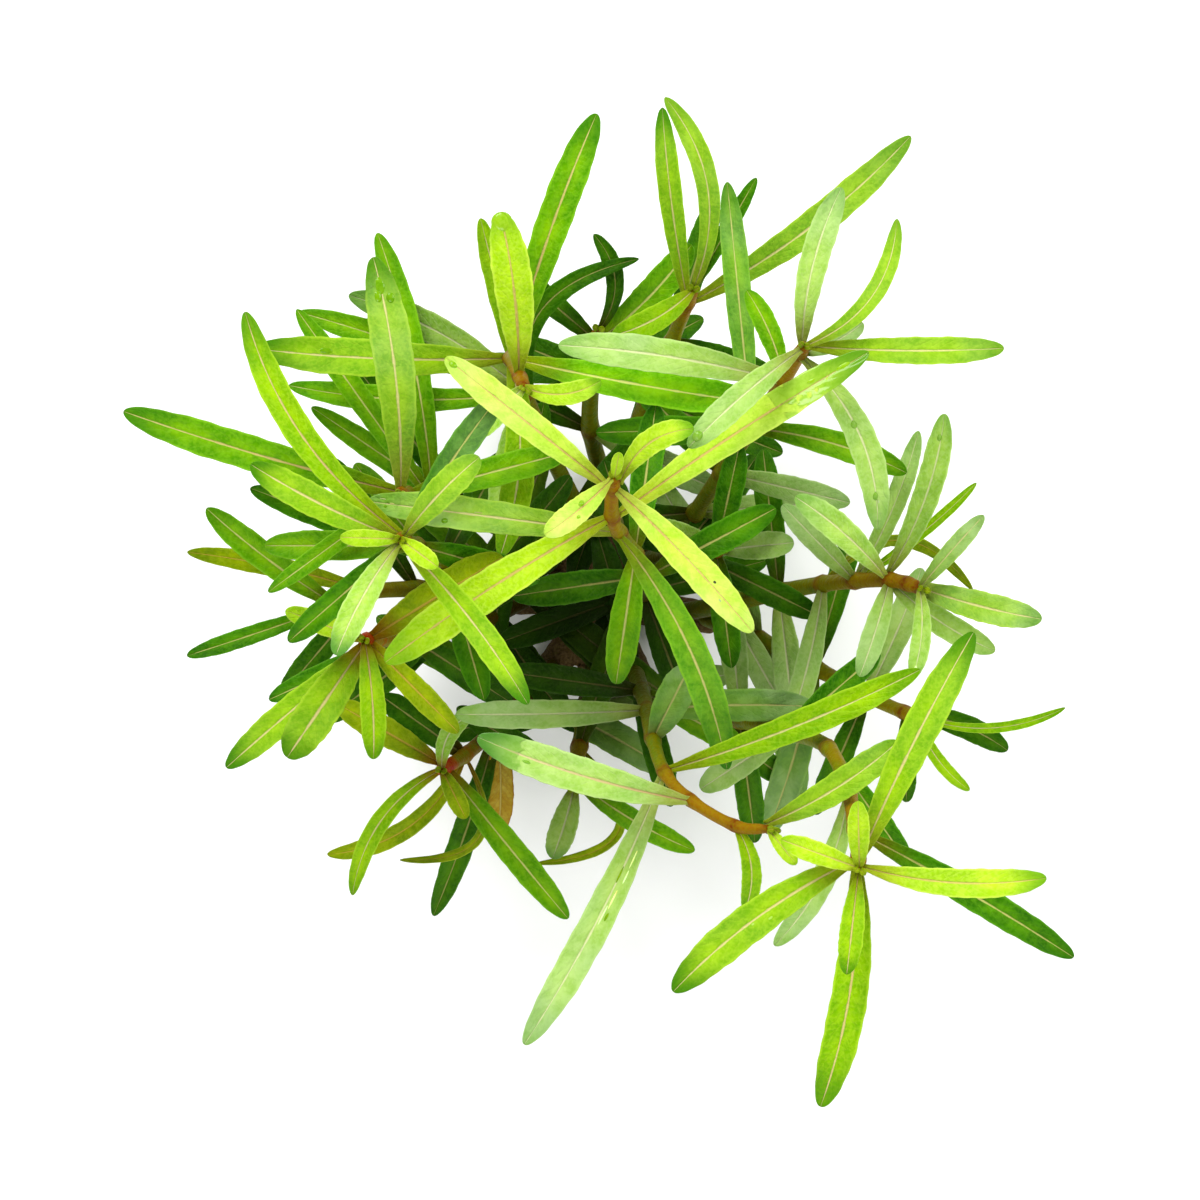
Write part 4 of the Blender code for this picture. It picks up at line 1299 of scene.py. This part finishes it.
SHOOTS = (
    Shoot("centre", [
        (1.3, 0.6, 4.25), (3.5, 0.5, 18), (5.5, 1, 33), (6, 3, 48), (4.4, 5.8, 60), (2.4, 8.5, 67.5),
        (1.5, 10.4, 72), (1.5, 14, 76.8), (1.8, 15.2, 79),
    ], [
        Leaf(7, (-19.3, 30.2, 78), 4, 1.5, 0, YOUNG, FRESH, (Spot(0.95, 0.1, 1.3, 0.9, 0.25),)),
        Leaf(7, (19, -4, 75), 4.3, 1.5, 0.4, YOUNG, FRESH, (
            Spot(0.68, 0.25, 0.6, 0.5, 0.05, "tan", 0.85), Spot(0.76, -0.3, 0.7, 0.35, 0.05, "tan", 0.2))),
        Leaf(8, (11.7, 21.3, 86), 3.5, 1.6, 1.6, YOUNG, DIPPED, roll=-10),
        Leaf(8, (-6.9, 8.1, 82), 3.3, 0.8, 0.3, YOUNG, FRESH, (
            Spot(0.42, -0.3, 0.9, 0.7, 0.2), Spot(0.55, 0.35, 0.6, 0.5, 0.15))),
        Leaf(6, (-26.8, -7.8, 68), 5.2, 1.5, -0.6, YOUNG, FLUSHED),
        Leaf(6, (33.5, 30.9, 77), 4.3, 1, 0.5, YOUNG, STREAKED, (
            Spot(0.9, 0.1, 2.4, 0.8, 0.15), Spot(0.78, 0.3, 1.5, 0.6, 0.12))),
        Leaf(5, (15.9, -21.2, 52), 4.5, 1.8, 2, GREEN, DIPPED),
        Leaf(5, (-29, 12.3, 69), 4.4, 0.8, 0, LIME, GLAZED, (
            Spot(0.94, -0.35, 1.3, 0.22, 0.05, "tan"), Spot(0.9, -0.1, 0.9, 0.3, 0.05, "tan"),
            Spot(0.92, 0.3, 0.5, 0.4, 0.15), Spot(0.55, -0.2, 1.6, 0.2, 0.05, "tan"),
            Spot(0.68, 0.5, 0.9, 0.8, 0.25))),
    ], [
        Leaf(8, (2.4, 18.4, 83), 1.6, 0.3, 0, YOUNG), Leaf(4, (2, -10.5, 54), 4.2, 1.5, 0, GREEN),
        shaded(4, (7, 24.5, 56), 4, 1.5), shaded(3, (22, 11.5, 50), 4.2, 1.5),
        shaded(3, (-11, 0.5, 44), 4.2, 1.5), buried(2, (11.5, -15, 30), 4, 1.2),
        buried(2, (0.5, 17.5, 34), 4, 1.2), buried(1, (21, 5, 20), 3.8, 1.2),
        buried(1, (-13, -5.5, 22), 3.8, 1.2),
    ]),
    Shoot("left", [
        (-5.6, 0.5, 4.3), (-10, 1.5, 17), (-15, 3, 32), (-19.5, 5, 47), (-22.8, 6.8, 61), (-24.4, 7.4, 70),
        (-24.8, 7.5, 74), (-24.9, 7.6, 77),
    ], [
        Leaf(6, (-43.5, 16.9, 81), 4.2, 1.5, 0.5, LIME, DIPPED),
        Leaf(6, (-9, -13, 72), 3.8, 1.5, 0.8, LIME, DIPPED, (Spot(0.9, -0.2, 0.5, 0.4, 0.15),)),
        Leaf(7, (-15, 17.8, 83), 4, 1.2, 0.4, LIME, HAZY),
        Leaf(7, (-32.9, -6.9, 80), 3.8, 1.6, -0.6, PALE, DIPPED),
        Leaf(5, (-12.1, 25.9, 75), 3.8, 1.5, 0.6, DARK, DULL),
        Leaf(5, (-44.3, 36, 68), 3.9, 1.8, 3, LIME, FLUSHED),
    ], [
        Leaf(7, (-32.4, 7.8, 81), 2.3, 0.4, 0, YOUNG), Leaf(7, (-20.2, 4.1, 81), 2.6, 0.4, 0, YOUNG),
        shaded(5, (-38.9, -5.2, 66), 3.4, 1.5), shaded(3, (-43.8, 14, 52), 3.6, 1.2),
        shaded(4, (-7.5, 2.5, 58), 4, 1.5), buried(3, (-12, 18.5, 39), 4, 1.2),
        shaded(3, (-14.5, -12.5, 50), 4, 1.2), Leaf(4, (-42, 6.8, 50), 4, 1.2, 0, GREEN, SHADED),
    ]),
    Shoot("far_left_upper", [
        (-6.4, 5.9, 4.25), (-10.5, 8, 16), (-16, 10.5, 30), (-21, 12.5, 44), (-24, 13.2, 55),
        (-24.8, 13.2, 62), (-24.9, 13.3, 64.5),
    ], [
        Leaf(5, (-28.3, 42.8, 71), 5.3, 1.8, -1, LIME, Look(0, 0.12, 0.22, 0.2, 0.8, 0.5, 0.6), (
            Spot(0.87, 0.05, 2.4, 1.7, 0.22), Spot(0.83, 0.3, 1.6, 1.1, 0.2),
            Spot(0.82, -0.35, 1.5, 1.2, 0.2))),
        Leaf(4, (-59.6, 23.6, 58), 4.6, 1.8, 0.5, GREEN, FLUSHED),
    ], [
        Leaf(5, (-41.5, 1, 54), 2.6, 1.5, 0, GREEN), Leaf(4, (-4, 18.5, 56), 4, 1.5, 0, GREEN),
        Leaf(3, (-38, 36.4, 50), 3.2, 1.5, 0, GREEN), Leaf(2, (-36.2, 24.2, 40), 3.2, 1.5, 0, GREEN, SHADED),
        buried(2, (-31.9, 30.9, 34), 3.4, 1.5), buried(1, (-7, 25, 21), 3.6, 1.2),
        Leaf(3, (-27.9, 46, 46), 3.8, 1.2, -1.2, GREEN),
    ]),
    Shoot("far_left_lower", [
        (-13, 0.9, 4.25), (-17.5, 1.2, 13), (-23, 1.4, 22), (-29, 1, 31), (-33.2, -0.6, 38),
        (-34.6, -1.2, 41),
    ], [], [
        Leaf(4, (-49.3, 11.5, 47), 3.7, 1.6, 0.5, GREEN),
        Leaf(3, (-51.8, 6, 38), 2.8, 1, -0.6, OLIVE, SHADED), shaded(5, (-51.8, -7, 42), 2.5, 1.2, 0.1),
        buried(2, (-34, 18, 27), 3.4, 1.5), buried(3, (-40, -12, 30), 3.4, 1.5),
        buried(2, (-30, -14, 20), 3.4, 1.5),
    ]),
    Shoot("left_red", [
        (-9.4, 0.2, 4.4), (-13.5, -2, 15), (-19, -3.6, 28), (-24, -4.6, 41), (-27.8, -5, 52),
        (-29.2, -5, 58), (-29.4, -5, 61),
    ], [
        Leaf(5, (-39.1, -19.7, 61), 5.4, 1.8, 0, LIME, Look(0.18, 0.2, 0.04, 0.5, 0.8)),
        Leaf(5, (-12.1, 5.4, 62), 5.2, 1.5, 0, OLIVE, SHADED),
        Leaf(4, (-46.8, -21, 49), 4, 1.5, -0.2, LIME, DIPPED),
    ], [
        Leaf(6, (-39.3, -1.3, 65), 2.8, 0.8, 0, YOUNG),
        Leaf(6, (-28.3, -19.9, 63), 3.4, 1.4, 0.4, LIME, Look(0.12, 0.25, 0, 0.8, 0.7)),
        Leaf(5, (-17.7, -16.6, 57), 3.3, 1.2, 0, OLIVE), shaded(3, (-41.5, -12.5, 42), 3.2, 1.2),
        buried(3, (-11, -13, 36), 3.8, 1.5),
    ], "red_stem"),
    Shoot("lower_left_red", [
        (-6.4, -8.8, 4.3), (-9.4, -12, 12), (-13, -16, 21), (-17, -19.5, 31), (-19.4, -21, 38),
        (-19.8, -21.3, 41),
    ], [
        Leaf(4, (-33.1, -12.9, 42), 3.8, 1.5, 0, OLIVE, SHADED),
    ], [
        Leaf(4, (-4, -40, 34), 3.7, 1.8, -0.1, GREEN, SHADED), Leaf(5, (-15.8, -14, 45), 2.5, 0.5, 1.4, PALE),
        Leaf(5, (-16.8, -27.4, 45), 2.5, 0.8, 0, OLIVE), Leaf(4, (-31.1, -37.1, 31), 2.6, 1.6, -2.6, LIME),
        Leaf(3, (-34.3, -32, 25), 2.6, 1, 3.2, OLIVE, SHADED),
        Leaf(2, (-12.8, -29.5, 15), 3.4, 1.2, 0.4, TAN), buried(2, (-21, -39.8, 12), 3.5, 1.5, 0.5),
        Leaf(3, (-25.2, -32.7, 23), 1.4, 0.5, 7, OLIVE, SHADED, roll=30),
        buried(3, (-27.5, -12, 34), 3.8, 1.2),
    ], "red_stem"),
    Shoot("upper_left", [
        (0, 6.6, 4.6), (-3, 12, 15), (-6.5, 19, 27), (-9.5, 26, 40), (-11.2, 30.2, 53), (-10, 27.8, 62),
        (-9.5, 26.6, 65),
    ], [
        Leaf(5, (-12.5, 48.4, 71), 5.1, 1.6, -0.6, YOUNG, FLUSHED, (Spot(0.94, 0.05, 2.6, 2.7, 0.3),)),
        Leaf(4, (-43.1, 31.4, 60), 4.9, 1.8, 0.6, LIME, DIPPED, (Spot(0.72, -0.3, 2, 0.9, 0.12),)),
        # Its negative shade is painted light, lifting a leaf that lies in the shade of the leaves above it.
        Leaf(4, (21.3, 24.4, 58), 4.8, 1.8, -0.4, GREEN, Look(-0.52, 0.1, 0, 0.2, 0.5)),
        Leaf(4, (-0.4, 60.8, 60), 4.5, 1.8, 0.6, GREEN, FLUSHED),
    ], [
        Leaf(6, (0.1, 27.4, 68), 3, 0.6, -1.3, YOUNG, DIPPED),
        Leaf(6, (-16, 20.3, 69), 3, 0.6, 0, PALE, Look(-0.04, 0.1)),
        Leaf(4, (-12.5, 5.5, 52), 4.2, 1.5, 1.8, LIME), Leaf(3, (-13, 9.5, 46), 4, 1.2, 0, PALE),
        Leaf(3, (-15, 47.8, 50), 3.2, 1, 0, LIME, Look(0.1, 0.55, 0, 0.3, 0), roll=12),
        buried(2, (4.9, 42.8, 38), 2.8, 1.2, 8.5),
        Leaf(3, (-31.5, 38.2, 44), 4, 1.5, -1.4, PALE, Look(0.26, 0.1, 0.12, 0.1, 0.7)),
        Leaf(3, (-39, 26.9, 44), 3.4, 1.5, 1.3, GREEN, Look(-0.08, 0.2)),
        Leaf(3, (-37.8, 36.1, 40), 3.6, 1.2, -0.6, GREEN),
    ]),
    Shoot("upper_right", [
        (9.6, 7.7, 4.15), (12, 11, 17), (15.3, 16, 31), (19, 21.5, 45), (23, 27.5, 59), (25, 30.8, 72),
        (25.4, 31.6, 75.5),
    ], [
        Leaf(5, (30.1, 51.4, 79), 3.8, 1.5, 1.1, PALE, GLAZED),
        Leaf(5, (34.7, 8.8, 62), 4, 1.6, 2.6, PALE, GLAZED, (
            Spot(0.42, -0.1, 1.2, 1, 0.3), Spot(0.82, -0.1, 1.3, 0.8, 0.25),
            Spot(0.86, 0.2, 0.7, 0.3, 0.05, "tan"))),
        Leaf(6, (50.4, 31.4, 73), 3.6, 0.8, -0.4, LIME, HAZY),
        Leaf(4, (-5.2, 31.8, 66), 4.6, 1.6, -0.7, PALE, MISTY),
        Leaf(6, (11, 19, 82), 3.8, 2.9, -0.4, PALE, GLAZED, (Spot(0.9, -0.15, 1.5, 1.3, 0.4),)),
    ], [
        Leaf(3, (15.9, 52.3, 56), 3.5, 1.5, 0, GREEN, DULL),
        Leaf(6, (37, 47.5, 79), 2.6, 1.5, -3.2, LIME, HAZY),
        Leaf(3, (38.4, 15.9, 51), 3.6, 1.4, 1, GREEN, SHADED), Leaf(4, (18.3, 38.7, 61), 3, 1, -0.6, GREEN),
        shaded(3, (-0.5, 21, 46), 4, 1.5), Leaf(2, (31.4, 12.2, 32), 3.4, 1.5, 0, PALE, DIM),
        buried(2, (4, 28, 30), 3.6, 1.5), Leaf(5, (32.8, 34.6, 70), 2.6, 0.8, -0.6, PALE, DIM),
    ]),
    Shoot("inner_right", [
        (6.4, 5.1, 4.2), (9, 5.4, 16), (12.2, 5.6, 29), (14.6, 6.2, 40), (15.2, 6.3, 44),
    ], [], [
        Leaf(4, (24.3, 7.2, 47), 3.6, 1.2, 0, PALE, DIM), Leaf(4, (6.5, 9.5, 48), 3.2, 1, 0, PALE),
        shaded(3, (17.5, 19.5, 43), 3.6, 1.2), shaded(3, (16.5, -8.5, 40), 3.6, 1.2),
        buried(2, (27.5, -2, 32), 3.6, 1.2), buried(2, (-2, 11, 28), 3.6, 1.2),
    ]),
    Shoot("top", [
        (0.1, 11, 4.65), (3, 18, 12), (6, 25.5, 21), (9, 32.5, 31), (11, 37.3, 39), (11.6, 38.8, 42.5),
    ], [
        Leaf(4, (38.9, 58.1, 50), 4.1, 1.8, -1.5, LIME, HAZY),
    ], [
        Leaf(4, (7.8, 61.7, 48), 3.1, 1.5, 0.4, LIME, DIPPED),
        Leaf(5, (8.1, 62.9, 54), 3, 1.8, -3.7, LIME, HAZY), Leaf(5, (1.5, 33.1, 46), 3.5, 1, 0.8, LIME),
        shaded(5, (19.6, 52.9, 47), 2.2, 1), buried(3, (22, 28, 28), 3.6, 1.5),
        buried(3, (14.5, 50.5, 27), 3.6, 1.5),
    ]),
    Shoot("top_low", [
        (0.5, 15.2, 4.45), (-1.2, 21.5, 12), (-1, 28, 21), (-0.4, 32.5, 29), (-0.2, 33.8, 32),
    ], [], [
        Leaf(3, (11.5, 44.6, 38), 4.2, 1.2, -0.8, GREEN), buried(4, (-0.8, 45.9, 38), 2.4, 1, -2.4),
        buried(3, (-11.5, 42, 32), 3.2, 1), buried(2, (-16, 30, 18), 3.6, 1.5),
        buried(2, (13, 35.5, 18), 3.6, 1.5),
    ]),
    Shoot("lower_right_bent", [
        (3.4, -6.8, 4.05), (4.4, -9, 18), (5.2, -11.4, 31), (5.9, -13.8, 42), (6.6, -17.4, 51),
        (8.1, -21.6, 58), (11.3, -25, 63), (16.9, -28.2, 67), (21, -28.6, 70),
    ], [
        Leaf(8, (37.2, -17.6, 77), 4, 1.4, -0.8, LIME, HAZY),
        Leaf(6, (-15.3, -17.1, 68), 4.8, 1.6, 0.8, PALE, SOAKED, (Spot(0.74, 0.3, 1.3, 0.5, 0.12),)),
        Leaf(5, (40, -8.7, 63), 4, 1.6, -0.8, LIME),
        Leaf(5, (-9.5, -55.7, 48), 4.3, 2, 1, PALE, MISTY, (
            Spot(0.34, -0.05, 3.2, 0.9, 0.05, "lime", 0.2), Spot(0.5, 0.42, 2.4, 0.7, 0.05, "lime", 0.2),
            Spot(0.27, 0.42, 3.2, 0.26, 0.08, "tan", -0.8), Spot(0.35, 0.36, 3.2, 0.3, 0.08, "tan", -0.8),
            Spot(0.42, 0.26, 3, 0.3, 0.08, "tan", -0.8), Spot(0.49, 0.16, 3.2, 0.26, 0.08, "tan", -0.8))),
    ], [
        Leaf(3, (-18.1, -14.3, 50), 3.8, 1.4, 0.2, PALE, MISTY),
        Leaf(7, (18.1, -38.8, 62), 2.6, 1.2, 1.4, LIME), Leaf(8, (24.5, -33, 71), 2, 0.4, 0, YOUNG),
        Leaf(4, (11.3, -8.2, 54), 4.6, 1, 0, GREEN, DIM), buried(2, (-12, -9, 36), 3.8, 1.2),
        Leaf(2, (18, -18.5, 36), 3.6, 1.2, 0, GREEN, SHADED), buried(1, (9, -26, 22), 3.6, 1.2),
    ], form=StemForm(tip_radius=0.6)),
    Shoot("lower_right", [
        (5.8, -12, 4.2), (11, -13.5, 18), (17.5, -15, 33), (23.5, -16.5, 48), (28.5, -18.5, 61),
        (31, -24, 71), (31.8, -28.8, 77), (32.2, -32.2, 80.5), (32.3, -33.4, 83),
    ], [
        Leaf(7, (9.1, -48.8, 82), 5, 1.6, -1.3, LIME, DIPPED, (
            Spot(0.45, 0.35, 0.8, 0.4, 0.05, "pale"), Spot(0.52, 0.15, 0.6, 0.4, 0.05, "pale"))),
        Leaf(7, (46.5, -4, 86), 4.8, 1.6, 0.5, LIME, DIPPED),
        Leaf(8, (55.6, -34.6, 84), 3.8, 1.2, -1.2, YOUNG, DIPPED),
        Leaf(8, (30.7, -46.6, 86), 3.2, 1, 0, LIME, FLUSHED),
        Leaf(7, (27.5, -63.2, 74), 4.8, 1.8, 1.5, LIME, FLUSHED),
        Leaf(6, (59.1, -44.6, 70), 3.9, 1.8, 0.4, DARK),
    ], [
        Leaf(8, (22.5, -29.8, 86), 3, 0.6, 0, YOUNG), Leaf(8, (32.1, -25, 88), 2.9, 0.5, 0, YOUNG),
        shaded(4, (39, -33.6, 57), 3.2, 1.2), Leaf(5, (21.8, -43.2, 60), 3.3, 1.5, 1.8, PALE, MISTY),
        Leaf(3, (12.6, -23.7, 43), 3.8, 1.2, 0, PALE, DIM), shaded(3, (35, -6.5, 46), 3.5, 1.2),
        buried(2, (19.5, -30.5, 26), 3.6, 1.5), buried(1, (24, -23, 18), 3.6, 1.2),
    ]),
    Shoot("right", [
        (10, -1.6, 4.5), (16, -0.5, 12), (22.5, 1, 22), (28, 2, 32), (32, 2.4, 41), (36.3, 2.5, 47),
        (38.6, 2, 50), (40, 1.5, 52),
    ], [
        Leaf(5, (24.4, 12.9, 55), 3.8, 1.2, -0.6, PALE, Look(-0.14, 0, 0.25, 0.3, 0.5)),
        Leaf(5, (43.1, 23.3, 57), 3.6, 1.4, -1.2, PALE, HAZY, (Spot(0.86, 0.2, 1, 0.6, 0.2),)),
        Leaf(6, (55.3, -2.4, 54), 4, 1.4, -0.4, LIME, GLAZED),
    ], [
        Leaf(7, (48, 10.6, 58), 2.5, 1, 0.1, LIME, MISTY),
        Leaf(7, (39.1, -9.7, 55), 2.6, 1.2, 0.7, PALE, HAZY, (
            Spot(0.35, 0, 1.4, 0.3, 0.05, "tan", -0.5), Spot(0.9, 0.1, 1, 0.8, 0.08, "tan", -0.5))),
        Leaf(5, (49.5, -6.4, 46), 3.5, 1.2, -0.8, PALE, Look(0.08, 0.3, 0.3, 0.1, 0.3)),
        Leaf(5, (32.5, -9.6, 50), 3.2, 1, 0.2, PALE, MISTY),
        Leaf(4, (22.8, 11.9, 48), 3.2, 1.2, 0, PALE, DIM),
        Leaf(4, (39.9, 21.2, 48), 2.8, 1.2, -0.8, PALE, Look(0.08, 0.2, 0.5, 0.1, 0.3)),
        Leaf(4, (47.2, 14.7, 42), 1.5, 1.2, -0.6, LIME), Leaf(3, (23.1, -17.5, 38), 3.4, 1.2, 0.6, PALE, DIM),
        Leaf(3, (46.8, 1.2, 38), 2.4, 1, 6, OLIVE, SHADED, roll=50), buried(2, (20.5, 19, 25), 3.6, 1.4),
    ]),
    Shoot("right_low", [
        (13.9, -2.4, 4.45), (20, -5, 10), (27, -8.5, 17), (33.5, -12, 24), (38.4, -14.2, 30),
        (39.8, -14.6, 33),
    ], [], [
        buried(4, (51.2, -18.9, 31), 3.2, 1.2, 1), Leaf(5, (58.4, -13.5, 36), 1.4, 1, -2, LIME),
        Leaf(5, (46.4, -23.9, 34), 1.8, 1, -1, LIME), buried(4, (38.5, -25.4, 28), 2.8, 1.2),
        buried(3, (27, -27, 20), 3.4, 1.5), buried(2, (32, 9, 18), 3.4, 1.5),
    ]),
    Shoot("bottom_low", [
        (-0.8, -8.8, 4.35), (-1.6, -13, 11), (-2.6, -18.5, 19), (-3.2, -22.5, 26), (-3.3, -23.6, 28.5),
    ], [], [
        Leaf(3, (11.9, -31.5, 31), 3.1, 1.2, -0.7, GREEN, SHADED),
        Leaf(4, (-6, -32.5, 27), 3.6, 1, 0.2, PALE, Look(0.34, 0.1, 0.3, 0.1, 0.7)),
        Leaf(2, (-8.2, -33.2, 15), 1.4, 0.8, 8.4, OLIVE, SHADED), buried(3, (-18, -13.5, 30), 3.4, 1.2),
    ]),
)


def main() -> None:
    """Builds the stock, the shoots and the studio, in that order."""
    logging.basicConfig(level=logging.INFO, format="%(message)s")
    finishes = Finishes()
    Stock().build(finishes)
    for shoot in SHOOTS:
        shoot.build(finishes)
    Studio().build()


if __name__ == "__main__":
    main()
